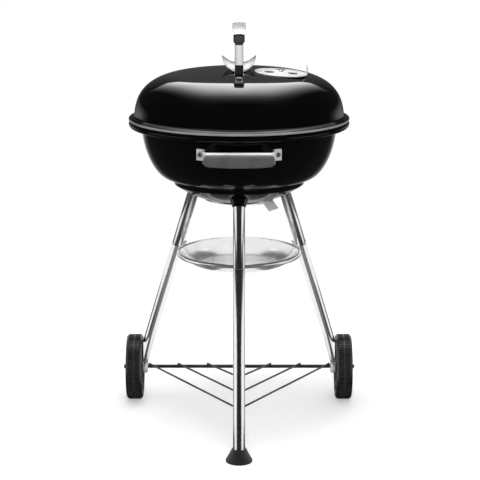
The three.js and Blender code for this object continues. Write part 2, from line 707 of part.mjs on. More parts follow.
function frontFootAndLeg(group) {
  const footTop = 28;
  const footSole = 6;
  const spineLevel = AXLE.z + RACK_HOOK;
  const spineHole = rod(RACK.centreWire + 0.5, -40, 0, 10).rotateY(Math.PI / 2);
  spineHole.translate(legRadiusAt(spineLevel) + 4, 0, spineLevel);
  group.add(mesh("lower_leg_front", cut(lowerLegTube(footSole + 6), spineHole), chrome));
  const circle = (z, radius) => {
    const centre = THREE.MathUtils.lerp(LEG_SPREAD, legRadiusAt(footTop), z / footTop);
    return evenSteps(0, 342, 19).map((degrees) => {
      const a = rad(degrees);
      return new THREE.Vector3(centre + radius * Math.cos(a), radius * Math.sin(a), z);
    });
  };
  const foot = skin([circle(0, 27), circle(1, 28.2), circle(footSole - 1, 28.2), circle(footSole, 26.6),
    circle(17, 20.4), circle(footTop - 1, 15.2), circle(footTop, 14.4)]);
  const bore = rod(TUBE.radius + GAP, 0, 60, LEG_SIDES).applyMatrix4(legAxis(footSole + 5));
  group.add(mesh("front_foot", cut(foot, bore), plastic));
}

function rearLegEnd(group, place, azimuth) {
  const tube = cut(lowerLegTube(20), beyondLegCut(azimuth, LEG_CUT), axleHole(azimuth, WHEEL.bore));
  group.add(mesh(`lower_leg_${place}`, tube, chrome));
  const core = rod(TUBE.radius - TUBE.wall - GAP, -alongLeg(24), alongLeg(60), 12);
  core.applyMatrix4(legAxis(AXLE.z));
  const plug = cut(core, beyondLegCut(azimuth, LEG_CUT), axleHole(azimuth, WHEEL.bore));
  group.add(mesh(`leg_plug_${place}`, plug, plastic));
}

// Bent tab on the inner side of the leg that the ash dish's rolled lip sits on.
function dishClip(name) {
  const inner = legRadiusAt(SEAM) - TUBE.radius * Math.sqrt(1 + LEG_SLOPE ** 2) - GAP - 1.4;
  const low = DISH.height - DISH.bead - GAP - 1;
  const shelf = low - 0.2;
  const line = [[inner - 5.4, low + 16], [inner, low], [inner - 4, shelf], [DISH.radius - 9, shelf]];
  const tab = extrudeAcross(band(line, 1.6), 12).rotateZ(-Math.PI / 2);
  return mesh(name, tab, steel);
}

function legs() {
  const group = new THREE.Group();
  for (const [place, azimuth] of Object.entries(LEGS)) {
    const leg = new THREE.Group();
    leg.rotation.z = rad(azimuth);
    leg.add(legSocket(`leg_socket_${place}`), upperLeg(`upper_leg_${place}`));
    leg.add(dishClip(`dish_clip_${place}`));
    if (place === "front") frontFootAndLeg(leg);
    else rearLegEnd(leg, place, azimuth);
    group.add(leg);
  }
  return group;
}

// ---------------------------------------------------------------- ash dish

function ashDish() {
  const { radius, height, depth, bead } = DISH;
  const wall = 1.4;
  const lip = arc(radius - bead, height, bead, -140, 140, 5);
  const inner = [[124, height - 4], [104, height - 17], [84, height - depth], [0, height - depth]];
  const outer = inner.map(([r, z]) => [r === 0 ? 0 : r + 0.9, z - wall]).reverse();
  return mesh("ash_dish", revolve([...outer, ...lip, ...inner]), aluminium);
}

// ---------------------------------------------------------------- rolling gear and rack

function wheel(side) {
  const half = WHEEL.width / 2;
  const profile = [
    [WHEEL.bore, -half], [15, -half], [18, -3], [60, -3], [65, -half], [72, -half],
    [WHEEL.radius, -half + 5], [WHEEL.radius, half - 5],
    [72, half], [65, half], [60, 3], [18, 3], [15, half], [WHEEL.bore, half],
  ];
  const turned = revolveRing(profile, 28).rotateY(Math.PI / 2);
  const name = side < 0 ? "wheel_left" : "wheel_right";
  const windows = Array.from({ length: 6 }, (_, i) => {
    const outline = [...arc(0, 0, 52, -20, 20, 3), ...arc(0, 0, 26, 16, -16, 2)];
    return extrude(outline, 12).translate(0, 0, -6).rotateZ(rad(60 * i + 30)).rotateY(Math.PI / 2);
  });
  const piece = mesh(name, cut(turned, ...windows), plastic);
  piece.position.set(side * WHEEL.centre, AXLE.y, AXLE.z);
  return piece;
}

function rollingGear() {
  const group = new THREE.Group();
  const outerFace = WHEEL.centre + WHEEL.width / 2;
  const axleEnd = outerFace + 5;
  const axle = mesh("axle", rodAlongX(AXLE_RADIUS, -axleEnd, axleEnd), blackWire);
  axle.position.set(0, AXLE.y, AXLE.z);
  group.add(axle);
  for (const side of [-1, 1]) {
    const place = side < 0 ? "left" : "right";
    group.add(wheel(side));
    const capProfile = [[0, 8], [6, 7.4], [10.5, 4.6], [12, 0], [AXLE_RADIUS + GAP, 0],
      [AXLE_RADIUS + GAP, 5.4], [0, 5.4]];
    const cap = mesh(`hub_cap_${place}`, revolve(capProfile, 12), plastic);
    cap.rotation.y = (side * Math.PI) / 2;
    cap.position.set(side * (outerFace + 0.5), AXLE.y, AXLE.z);
    group.add(cap);
    const washerFrom = LEG_CUT + GAP;
    const washerTo = WHEEL.centre - WHEEL.width / 2 - GAP;
    const washerBore = rod(WHEEL.bore, washerFrom - 5, washerTo + 5, 10);
    const washer = cut(rod(9, washerFrom, washerTo, 12), washerBore);
    const ring = mesh(`axle_washer_${place}`, washer, steel);
    ring.rotation.y = (side * Math.PI) / 2;
    ring.position.set(0, AXLE.y, AXLE.z);
    group.add(ring);
  }
  return group;
}

// Three nested V rods and a spine, all hooked over the axle at the back.
function bottomRack() {
  const level = AXLE.z + RACK_HOOK;
  const hookEnd = arc(AXLE.y, AXLE.z, RACK_HOOK, -30, 90, 3);
  const vees = RACK.tips.map((tip, i) => {
    const spread = RACK.spreads[i];
    const half = [...hookEnd.map(([y, z]) => [spread, y, z]), [7, tip + 7, level]];
    return wire([...half, ...half.map(([x, y, z]) => [-x, y, z]).reverse()], RACK.wire);
  });
  const legBack = -(legRadiusAt(level) - 4);
  const spine = wire([...hookEnd.map(([y, z]) => [0, y, z]), [0, legBack, level]], RACK.centreWire);
  return mesh("bottom_rack", join(spine, ...vees), blackWire);
}

// ---------------------------------------------------------------- assembly

const frontmost = -(LEG_SPREAD + 28.2);
const rearmost = RIM_RADIUS;
const grill = new THREE.Group();
grill.name = "kettle_grill";
grill.position.y = -(frontmost + rearmost) / 2;
grill.add(lid(), bowlShell(), frontHandle(), bowlFittings(), cookingGrate(), charcoalGrate());
grill.add(ventPlate(), ventRivet(), legs(), ashDish(), rollingGear(), bottomRack());

export default grill;
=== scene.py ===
"""Kettle charcoal grill: detailed pieces over the CAD frame, their materials, studio light and camera.

Shapes are written in millimetres in the kettle's own frame: the kettle axis is x = 0, y = 0, the floor is
z = 0, and the front is towards -Y. piece() turns them into metres in the frame that the CAD model uses.
"""

import functools
import json
import math

import bmesh
import bpy
from mathutils import Matrix, Vector

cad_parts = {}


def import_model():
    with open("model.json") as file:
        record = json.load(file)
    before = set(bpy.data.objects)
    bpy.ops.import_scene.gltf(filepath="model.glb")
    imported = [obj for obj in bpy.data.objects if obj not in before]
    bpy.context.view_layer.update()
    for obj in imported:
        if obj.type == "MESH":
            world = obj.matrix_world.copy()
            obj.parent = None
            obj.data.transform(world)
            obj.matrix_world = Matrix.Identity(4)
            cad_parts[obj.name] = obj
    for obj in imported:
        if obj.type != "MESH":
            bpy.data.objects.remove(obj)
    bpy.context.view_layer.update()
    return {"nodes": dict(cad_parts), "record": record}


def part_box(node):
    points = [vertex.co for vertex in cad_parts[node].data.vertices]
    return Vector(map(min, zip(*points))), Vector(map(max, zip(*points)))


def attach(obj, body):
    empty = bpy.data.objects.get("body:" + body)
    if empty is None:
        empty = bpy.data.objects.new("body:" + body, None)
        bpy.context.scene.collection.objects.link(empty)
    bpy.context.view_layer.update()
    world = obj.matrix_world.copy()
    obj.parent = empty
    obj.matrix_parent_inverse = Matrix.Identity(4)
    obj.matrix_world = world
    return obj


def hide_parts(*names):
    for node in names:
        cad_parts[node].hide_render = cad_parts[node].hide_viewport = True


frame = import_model()
bowl_low, bowl_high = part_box("bowl_shell")
KETTLE_Y = (bowl_low.y + bowl_high.y) / 2

# ------------------------ dimensions, mm

GAP, SHEET = 0.35, 1.6
RIM_RADIUS, RIM_PLANE = 241.35, 681.6
LID_WALL, LID_BASE, LID_RISE, LID_POWER = 230, 650.3, 141, 3.53
GRIP_END, GRIP_TOP, GRIP_ARCH, GRIP_DEPTH, GRIP_HALF = 96, 888, 12.5, 19, 12
CAP_END, CAP_EDGE, CAP_SWELL, CAP_SHEET = 97.5, 11.2, 3.5, 1.8
STRAP_WIDTH, STRAP_SHEET, HANDLE_BOLT = 18, 3, 144
SHIELD_LIFT, SHIELD_CROWN, SHIELD_CURL, SHIELD_SHEET = 0.75, 13, 17, 1
# Half widths of the heat shield at distances from the middle of the handle.
SHIELD_OUTLINE = [(0, 37.3), (11, 36.8), (21, 35.5), (31, 33.8), (41, 30.6), (47, 25.5), (51, 17.5),
                  (56, 12.4), (66, 9.8), (80, 9.2), (92, 10.2), (98, 11.3), (106, 9), (156, 9)]
DAMPER_X, DAMPER_Y, DAMPER_RADIUS, DAMPER_HOLES = 90, -37, 57, 29
BOWL_WALL, BOWL_TOP, BOWL_POWER, BOWL_BEAD = 213, 668, 1.7, 6.6
BOWL_BOTTOM, BOWL_DISH = 497, 250
LEDGE_RADIUS, LEDGE_HEIGHT, STEP_RADIUS = 158, 557, 143
HANDLE_Z, HANDLE_REACH, HANDLE_FOOT, HANDLE_WALL, HANDLE_SHEET = 638, 252, 80, 211.5, 2.6
VENT_RADIUS, VENT_INNER, VENT_OUTER, VENT_SWEEP = 78, 26, 66, 40
LEVER_WIDTH, LEVER_AZIMUTH = 38, -33
TUBE_RADIUS, TUBE_WALL, TUBE_BORE = 12.7, 1.5, 11.2
LEG_SPREAD, LEG_SLOPE, LEG_CUT = 292.4, 0.341, 223.3
SOCKET_END, SEAM, SLEEVE = 511, 383.5, 40
LEGS = {"front": -90, "right": 30, "left": 150}
SIDES = {"left": -1, "right": 1}
THIRDS = (90, 210, 330)
WHEEL_RADIUS, WHEEL_WIDTH, WHEEL_CENTRE, TREAD_RADIUS, TREAD_BARS = 76.1, 36.5, 244.2, 75.7, 92
AXLE_RADIUS, AXLE_BORE, AXLE_Z = 4, 4.35, 76.1


def leg_radius_at(z):
    return LEG_SPREAD - LEG_SLOPE * z


AXLE_Y = leg_radius_at(AXLE_Z) * math.sin(math.radians(LEGS["right"]))

# ------------------------ shapes: (points, faces) pairs


def shift(x, y, z):
    return Matrix.Translation((x, y, z))


def spin(degrees, axis="Z"):
    return Matrix.Rotation(math.radians(degrees), 4, axis)


TO_ROW = shift(0, KETTLE_Y, 0) @ Matrix.Scale(0.001, 4)


def moved(shape, matrix):
    points, faces = shape
    return [matrix @ Vector(p) for p in points], faces


def together(*shapes):
    points, faces = [], []
    for more_points, more_faces in shapes:
        start = len(points)
        points += more_points
        faces += [[start + i for i in face] for face in more_faces]
    return points, faces


def rings_to_shape(rings, closed_loop=False):
    """Skins equal rings of points; the ends are filled with a polygon unless the rings form a loop."""
    count = len(rings[0])
    points = [Vector(p) for ring in rings for p in ring]
    faces = []
    spans = len(rings) if closed_loop else len(rings) - 1
    for r in range(spans):
        a, b = r * count, ((r + 1) % len(rings)) * count
        for i in range(count):
            j = (i + 1) % count
            faces.append([a + i, a + j, b + j, b + i])
    if not closed_loop:
        last = (len(rings) - 1) * count
        faces.append(list(range(count))[::-1])
        faces.append([last + i for i in range(count)])
    return points, faces


def lathe(profile, segments=96, closed=False):
    """Revolves (radius, height) pairs round Z. A closed profile is a ring's section; otherwise the profile
    starts and ends on the axis."""
    rings = []
    for s in range(segments):
        a = 2 * math.pi * s / segments
        rings.append([(r * math.cos(a), r * math.sin(a), z) for r, z in profile])
    points, faces = rings_to_shape(rings, closed_loop=True)
    if not closed:
        count = len(profile)
        faces = [f for f in faces if not (f[0] % count == count - 1 or f[1] % count == 0)]
    return points, faces


def arc(cx, cy, radius, start, end, steps):
    angles = [math.radians(start + (end - start) * i / steps) for i in range(steps + 1)]
    return [(cx + radius * math.cos(a), cy + radius * math.sin(a)) for a in angles]


def superellipse(rx, rz, power, start, end, steps):
    points = []
    for i in range(steps + 1):
        a = math.radians(start + (end - start) * i / steps)
        points.append((rx * abs(math.cos(a)) ** (2 / power), rz * abs(math.sin(a)) ** (2 / power)))
    return points


def rounded(points, radius, steps=6, closed=False):
    """Rounds the corners of a polyline in 2 or 3 dimensions."""
    points = [Vector(p) for p in points]
    count = len(points)
    out = []
    for i, here in enumerate(points):
        if not closed and i in (0, count - 1):
            out.append(here)
            continue
        to_before = points[i - 1] - here
        to_after = points[(i + 1) % count] - here
        turn = math.pi - to_before.angle(to_after)
        if turn < 0.05:
            out.append(here)
            continue
        reach = min(radius * math.tan(turn / 2), to_before.length * 0.48, to_after.length * 0.48)
        start = here + to_before.normalized() * reach
        end = here + to_after.normalized() * reach
        for k in range(steps + 1):
            t = k / steps
            out.append(start * (1 - t) ** 2 + here * 2 * t * (1 - t) + end * t**2)
    return [tuple(p) for p in out]


def offset_line(points, distance):
    """Moves a 2-D polyline sideways, to its left when walked from first to last."""
    out = []
    for i, point in enumerate(points):
        here = Vector(point)
        before = Vector(points[max(i - 1, 0)])
        after = Vector(points[min(i + 1, len(points) - 1)])
        into = (here - before) if i else (after - here)
        onward = (after - here) if i < len(points) - 1 else into
        n1 = Vector((-into.y, into.x)).normalized()
        n2 = Vector((-onward.y, onward.x)).normalized()
        mitre = (n1 + n2).normalized()
        out.append(tuple(here + mitre * (distance / max(mitre.dot(n1), 0.3))))
    return out


def band(line, thickness):
    return offset_line(line, thickness / 2) + offset_line(line, -thickness / 2)[::-1]


def prism(outline, low, high):
    """An outline in X and Y, from one height to another."""
    return rings_to_shape([[(x, y, z) for x, y in outline] for z in (low, high)])


def prism_across(outline, width):
    """An outline in Y and Z, centred across X."""
    return rings_to_shape([[(x, y, z) for y, z in outline] for x in (-width / 2, width / 2)])


def box(half_x, half_y, low, high):
    return prism([(-half_x, -half_y), (half_x, -half_y), (half_x, half_y), (-half_x, half_y)], low, high)


def rod(radius, start, end, segments=32):
    return lathe([(0, start), (radius, start), (radius, end), (0, end)], segments)


def along_x(shape):
    return moved(shape, spin(90, "Y"))


def wire(points, radius, bend=6):
    """A round wire along a polyline with rounded corners and closed ends."""
    path = [Vector(p) for p in rounded(points, bend)]
    across = Vector((0, 0, 1))
    if abs((path[1] - path[0]).normalized().z) > 0.9:
        across = Vector((1, 0, 0))
    rings = []
    for i, centre in enumerate(path):
        before = path[max(i - 1, 0)]
        after = path[min(i + 1, len(path) - 1)]
        ahead = (after - before).normalized()
        across = (across - ahead * across.dot(ahead)).normalized()
        up = ahead.cross(across)
        turns = [2 * math.pi * k / 12 for k in range(12)]
        rings.append([centre + (across * math.cos(a) + up * math.sin(a)) * radius for a in turns])
    return rings_to_shape(rings)


# ------------------------ pieces


def finish_mesh(mesh, sharp_degrees):
    """Welds, turns faces outward, smooths them and marks the edges that stay sharp."""
    bm = bmesh.new()
    bm.from_mesh(mesh)
    bmesh.ops.remove_doubles(bm, verts=bm.verts, dist=1e-6)
    bmesh.ops.dissolve_degenerate(bm, edges=bm.edges, dist=1e-7)
    bmesh.ops.recalc_face_normals(bm, faces=bm.faces)
    limit = math.radians(sharp_degrees)
    for face in bm.faces:
        face.smooth = True
    for edge in bm.edges:
        edge.smooth = len(edge.link_faces) == 2 and edge.calc_face_angle() < limit
    bm.to_mesh(mesh)
    bm.free()


def new_object(name, data):
    obj = bpy.data.objects.new(name, data)
    bpy.context.scene.collection.objects.link(obj)
    return obj


def bare(name, shape):
    """A mesh object from a shape, in the row frame."""
    points, faces = moved(shape, TO_ROW)
    mesh = bpy.data.meshes.new(name)
    mesh.from_pydata([tuple(p) for p in points], [], faces)
    finish_mesh(mesh, 30)
    return new_object(name, mesh)


def bake(obj, kind, **settings):
    """Puts one modifier's result into an object's mesh."""
    modifier = obj.modifiers.new("shape", kind)
    for key, value in settings.items():
        setattr(modifier, key, value)
    bpy.context.view_layer.update()
    depsgraph = bpy.context.evaluated_depsgraph_get()
    mesh = bpy.data.meshes.new_from_object(obj.evaluated_get(depsgraph))
    obj.modifiers.clear()
    obj.data = mesh


def dress(obj, material, body):
    obj.data.materials.clear()
    obj.data.materials.append(material)
    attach(obj, body)


def piece(name, shape, material, body, node, cuts=(), sharp=32, bevel=0.0):
    """Makes a visual piece that stands for a CAD node and rides on its body, with the cuts taken away."""
    obj = bare(name, shape)
    for cut in cuts:
        tool = bare("tool", cut)
        bake(obj, "BOOLEAN", operation="DIFFERENCE", solver="EXACT", object=tool)
        bpy.data.objects.remove(tool)
    if bevel:
        least = math.radians(40)
        bake(obj, "BEVEL", width=bevel / 1000, segments=3, limit_method="ANGLE", angle_limit=least)
    finish_mesh(obj.data, sharp)
    dress(obj, material, body)
    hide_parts(node)


def extra_piece(name, shape, material, body):
    """A second visual piece of a CAD node that piece() already replaces."""
    obj = bare(name, shape)
    finish_mesh(obj.data, 40)
    dress(obj, material, body)


# ------------------------ node trees


class Nodes:
    """A short way to write the node tree of a material or a world."""

    def __init__(self, owner):
        owner.use_nodes = True
        self.owner = owner
        self.tree = owner.node_tree

    def add(self, kind, **inputs):
        return self.feed(self.tree.nodes.new(kind), **inputs)

    def feed(self, node, **inputs):
        """Sets or links a node's inputs by name, with an underscore for each space."""
        for key, value in inputs.items():
            self.plug(value, node.inputs[key.replace("_", " ")])
        return node

    def plug(self, value, socket):
        if isinstance(value, bpy.types.NodeSocket):
            self.tree.links.new(value, socket)
        else:
            socket.default_value = value

    @functools.cached_property
    def place(self):
        return self.add("ShaderNodeTexCoord").outputs["Object"]

    @functools.cached_property
    def axes(self):
        """X, Y and Z of the object coordinates, in metres."""
        return tuple(self.add("ShaderNodeSeparateXYZ", Vector=self.place).outputs)

    def maths(self, operation, a, b=0.0):
        node = self.add("ShaderNodeMath")
        node.operation = operation
        self.plug(a, node.inputs[0])
        self.plug(b, node.inputs[1])
        return node.outputs["Value"]

    def plus(self, a, b):
        return self.maths("ADD", a, b)

    def times(self, a, b):
        return self.maths("MULTIPLY", a, b)

    def length(self, x, y):
        return self.maths("SQRT", self.plus(self.times(x, x), self.times(y, y)))

    def spread(self, value, low, high, to_low, to_high):
        return self.add("ShaderNodeMapRange", Value=value, From_Min=low, From_Max=high, To_Min=to_low,
                        To_Max=to_high).outputs["Result"]

    def colours(self, factor, *stops):
        node = self.add("ShaderNodeValToRGB", Fac=factor)
        elements = node.color_ramp.elements
        while len(elements) < len(stops):
            elements.new(0.5)
        for element, (position, colour) in zip(elements, stops):
            element.position = position
            element.color = (*colour, 1)
        return node.outputs["Color"]

    def greys(self, value, low, high, *stops):
        """Turns a value between low and high into a grey that follows the stops, given as (value, grey)."""
        scaled = self.spread(value, low, high, 0, 1)
        return self.colours(scaled, *(((at - low) / (high - low), (grey,) * 3) for at, grey in stops))


class Finish(Nodes):
    """A surface material, round its Principled BSDF."""

    def __init__(self, name):
        super().__init__(bpy.data.materials.new(name))
        self.shader = self.tree.nodes["Principled BSDF"]

    def set(self, **inputs):
        self.feed(self.shader, **inputs)

    def stretched(self, x, y, z):
        """Object coordinates scaled by a factor on each axis."""
        return self.add("ShaderNodeMapping", Vector=self.place, Scale=(x, y, z)).outputs["Vector"]

    def noise(self, scale, detail, vector=None):
        node = self.add("ShaderNodeTexNoise", Vector=vector or self.place, Scale=scale, Detail=detail)
        return node.outputs["Fac"]

    def bump(self, height, strength, distance):
        node = self.add("ShaderNodeBump", Height=height, Strength=strength, Distance=distance)
        self.set(Normal=node.outputs["Normal"])


# ------------------------ materials


def enamel_material():
    """Fired black enamel: deep gloss, faint orange peel, specks of dust, and a grey line painted along the
    lid's edge as a highlight.
    """
    n = Finish("black_enamel")
    dust = n.spread(n.noise(900, 2), 0.68, 0.8, 0, 1)
    haze = n.spread(n.noise(9, 4), 0.35, 0.7, 0.045, 0.085)
    height = n.axes[2]
    low, high = (RIM_PLANE + 1) / 1000, (RIM_PLANE + 6.6) / 1000
    # Painted highlight: a grey band round the lid's edge just above the rim plane, a little uneven, on
    # rougher enamel.
    edge = n.times(n.spread(height, low, low + 0.0008, 0, 1), n.spread(height, high - 0.0006, high, 1, 0))
    lighter_tone = n.times(edge, n.spread(n.noise(40, 3), 0.3, 0.7, 0.8, 1))
    # Dust specks and the painted highlight band together set the base colour.
    tone = n.maths("MAXIMUM", n.times(dust, 0.02), lighter_tone)
    n.set(Base_Color=n.colours(tone, (0, (0.0012, 0.0012, 0.0013)), (0.02, (0.006,) * 3), (1, (0.3,) * 3)))
    n.set(Roughness=n.plus(n.plus(haze, n.times(dust, 0.15)), n.times(edge, 0.2)), IOR=1.5)
    n.bump(n.noise(260, 2), 0.015, 0.0006)
    return n.owner


def chrome_material():
    """Bright plating on tube: long faint drawing lines and slight hazing."""
    n = Finish("chrome_tube")
    lines = n.noise(1.0, 3, n.stretched(900, 900, 25))
    haze = n.noise(14, 4)
    n.set(Base_Color=n.colours(haze, (0.3, (0.84, 0.845, 0.85)), (0.75, (0.92, 0.92, 0.92))), Metallic=1.0)
    n.set(Roughness=n.plus(n.spread(haze, 0.3, 0.7, 0.13, 0.2), n.times(lines, 0.06)))
    n.bump(lines, 0.012, 0.0003)
    return n.owner


def aluminium_material(name, tone, metallic, roughness, relief=0.12):
    """Spun satin sheet: fine rings round the kettle axis, uneven sheen and light scuffs."""
    n = Finish(name)
    x, y, z = n.axes
    y = n.maths("SUBTRACT", y, KETTLE_Y)
    radius, angle = n.length(x, y), n.maths("ARCTAN2", y, x)
    spun = n.add("ShaderNodeCombineXYZ", X=n.times(radius, 1400), Y=n.times(angle, 3), Z=n.times(z, 300))
    rings = n.noise(1.0, 3, spun.outputs["Vector"])
    clouds = n.noise(16, 4)
    scuff = n.spread(n.noise(60, 5, n.stretched(1, 3, 1)), 0.62, 0.72, 0, 1)
    dark, light = [c * 0.9 for c in tone], [min(c * 1.06, 0.95) for c in tone]
    n.set(Base_Color=n.colours(clouds, (0.3, dark), (0.72, light)), Metallic=metallic)
    rough = n.plus(n.spread(clouds, 0.3, 0.7, roughness, roughness + 0.08), n.times(rings, relief / 2))
    n.set(Roughness=n.plus(rough, n.times(scuff, 0.08)))
    n.bump(rings, relief, 0.0003)
    return n.owner


def steel_material(name, tone, roughness, metallic=1.0, painted_shade_between=None):
    """Plain or plated steel, grained and a little tarnished, with painted shade between two heights in mm.
    """
    n = Finish(name)
    tarnish_and_shade = n.noise(30, 5)
    rough = n.spread(tarnish_and_shade, 0.3, 0.7, roughness * 0.8, roughness * 1.3)
    # Painted shade: between the two heights the colour drops to a dull dark grey and the roughness rises.
    if painted_shade_between:
        low, high = painted_shade_between[0] / 1000, painted_shade_between[1] / 1000
        height = n.axes[2]
        below = n.spread(height, low, low + 0.001, 1, 0)
        outside_painted_shade = n.maths("MAXIMUM", below, n.spread(height, high - 0.002, high, 0, 1))
        tarnish_and_shade = n.times(tarnish_and_shade, n.spread(outside_painted_shade, 0, 1, 0.2, 1))
        rough = n.maths("MAXIMUM", rough, n.spread(outside_painted_shade, 0, 1, 0.5, 0))
    # The darkest colour serves both the random tarnish and the painted shade.
    dull_and_shade, dark = [c * 0.045 for c in tone], [c * 0.72 for c in tone]
    n.set(Base_Color=n.colours(tarnish_and_shade, (0.18, dull_and_shade), (0.32, dark), (0.6, tone)), Metallic=metallic)
    n.set(Roughness=rough)
    n.bump(n.noise(700, 3), 0.08, 0.0003)
    return n.owner


def plastic_material(name, tone, roughness, grain_scale, depth, highlight_beyond=None):
    """Moulded plastic with an even grain, paler where it is rubbed, and paler beyond so many mm from the
    axle as a painted highlight on the tread's raised bars.
    """
    n = Finish(name)
    patches = n.noise(22, 5)
    wear_and_highlight = patches
    # Painted highlight: beyond the given distance from the axle, the tread's raised bars and ridge take the
    # palest colour.
    if highlight_beyond:
        _, y, z = n.axes
        across = n.maths("SUBTRACT", y, KETTLE_Y + AXLE_Y / 1000)
        from_axle = n.length(across, n.maths("SUBTRACT", z, AXLE_Z / 1000))
        start = highlight_beyond / 1000
        wear_and_highlight = n.plus(patches, n.spread(from_axle, start, start + 0.0003, 0, 1))
    lighter_tone, worn_and_highlight = [c * 1.5 + 0.004 for c in tone], [c * 3.5 for c in tone]
    n.set(Base_Color=n.colours(wear_and_highlight, (0.4, tone), (0.75, lighter_tone), (1, worn_and_highlight)))
    n.set(Roughness=n.spread(patches, 0.3, 0.7, roughness, roughness + 0.12))
    n.bump(n.noise(grain_scale, 2), depth, 0.0004)
    return n.owner


ENAMEL = enamel_material()
CHROME = chrome_material()
ALUMINIUM = aluminium_material("satin_aluminium", (0.84, 0.84, 0.85), 0.6, 0.26)
STEEL = steel_material("bright_steel", (0.62, 0.63, 0.64), 0.28)
NYLON = plastic_material("grey_nylon", (0.075, 0.076, 0.078), 0.42, 1500, 0.25)
DARK_NYLON = plastic_material("dark_nylon", (0.026, 0.026, 0.027), 0.42, 1500, 0.25)
# The tread's raised bars and ridge, beyond 75.8 mm from the axle, are painted paler as highlights.
TREAD = plastic_material("tread_plastic", (0.009, 0.009, 0.01), 0.24, 1200, 0.15, TREAD_RADIUS + 0.1)
PLASTIC = plastic_material("black_plastic", (0.014, 0.014, 0.015), 0.36, 1200, 0.3)
BLACK_WIRE = plastic_material("black_wire", (0.008, 0.008, 0.008), 0.3, 500, 0.15)
PLATED_WIRE = steel_material("plated_wire", (0.66, 0.67, 0.68), 0.22)
RAW_STEEL = steel_material("raw_steel", (0.34, 0.34, 0.35), 0.45)
SHIELD_METAL = aluminium_material("shield_aluminium", (0.58, 0.58, 0.59), 0.85, 0.3)
DISH_METAL = aluminium_material("dish_aluminium", (0.92, 0.92, 0.93), 0.85, 0.16, 0.03)
TAB_METAL = aluminium_material("tab_aluminium", (0.95, 0.95, 0.95), 0.2, 0.3)
CAP_METAL = aluminium_material("cap_aluminium", (0.82, 0.82, 0.82), 0.6, 0.16, 0.04)
# Painted shade on the lid strap's lower legs and feet, between 780.8 and 797 mm.
PLATED_STRAP = steel_material("plated_strap", (0.84, 0.84, 0.84), 0.13, painted_shade_between=(780.8, 797))
SATIN_STRAP = steel_material("satin_strap", (0.86, 0.86, 0.86), 0.34, 0.35)

# ------------------------ lid


def lid_height(r):
    return LID_BASE + LID_RISE * (1 - min(r / LID_WALL, 1) ** LID_POWER) ** (1 / LID_POWER)


def lid_seat(distance, azimuth):
    """Pose on the lid at a distance and azimuth in degrees from the axis, Z along the lid's normal."""
    slope = lid_height(distance + 0.5) - lid_height(distance - 0.5)
    lean = Matrix.Rotation(-math.atan(slope), 4, "Y")
    return spin(azimuth) @ shift(distance, 0, lid_height(distance)) @ lean


DAMPER_AZIMUTH = math.degrees(math.atan2(DAMPER_Y, DAMPER_X))
DAMPER_SEAT = lid_seat(math.hypot(DAMPER_X, DAMPER_Y), DAMPER_AZIMUTH)


def damper_holes(radius):
    poses = [DAMPER_SEAT @ spin(a - DAMPER_AZIMUTH) @ shift(DAMPER_HOLES, 0, 0) for a in THIRDS]
    return [moved(rod(radius, -30, 30, 40), pose) for pose in poses]


def lid_dome():
    """The lid in section: dome, upright wall, a flange sloping out to a rolled edge, and the inner face."""
    dome = [(r, LID_BASE + z) for r, z in superellipse(LID_WALL, LID_RISE, LID_POWER, 90, 10, 48)]
    roll_x, roll_z, roll = RIM_RADIUS - 3.6, RIM_PLANE + GAP + 3.7, 3.5
    slope_end = (roll_x + 1.64, roll_z + 3.09)
    wall_end = (LID_WALL - 0.6, slope_end[1] + 5.4)
    foot = rounded([dome[-1], wall_end, slope_end, (roll_x + roll, roll_z)], 4)[1:-3]
    edge = arc(roll_x, roll_z, roll, 58, -200, 24)
    under = [(LID_WALL + 1.4, wall_end[1] - 3.2), (LID_WALL - 1 - SHEET, wall_end[1] + 1)]
    hollow = superellipse(LID_WALL - SHEET, LID_RISE - SHEET, LID_POWER, 12, 90, 30)
    inside = [(r, LID_BASE + z) for r, z in hollow]
    profile = [(0, dome[0][1]), *dome[1:], *foot, *edge, *under, *inside[:-1], (0, inside[-1][1])]
    piece("lid_dome", lathe(profile, 160), ENAMEL, "lid", "lid_shell", damper_holes(9.5))


def grip_top(y):
    return GRIP_TOP - GRIP_ARCH * (y / GRIP_END) ** 2


def lid_strap_line():
    """The lid strap in Y and Z: flat feet on the lid, upright lower legs, then a lean in to the grip."""
    above = GAP * 2 + SHIELD_SHEET + STRAP_SHEET / 2 + 0.4
    sole = lid_height(162) + above
    toe = [(164.2, sole - 3.4), (164, sole - 2.1), (163.5, sole - 1.1), (162.8, sole - 0.4)]
    feet = [*toe, *((y, lid_height(y) + above) for y in (162, 155, 148, 141, 134))]
    top = [(y, grip_top(y) - 9.5) for y in (85, 72, 60, 45, 30, 15, 0)]
    ankle = (123.3, lid_height(124) + above)
    corners = rounded([feet[-1], ankle, (121.5, 813), (88, grip_top(88) - GRIP_DEPTH), top[0]], 7, 8)
    half = [*feet[:-1], *corners, *top[1:]]
    return half[:-1] + [(-y, z) for y, z in half[::-1]]


def lid_strap():
    strap = prism_across(band(lid_strap_line(), STRAP_SHEET), STRAP_WIDTH)
    piece("lid_strap", strap, PLATED_STRAP, "lid", "lid_handle_strap", bevel=0.35)


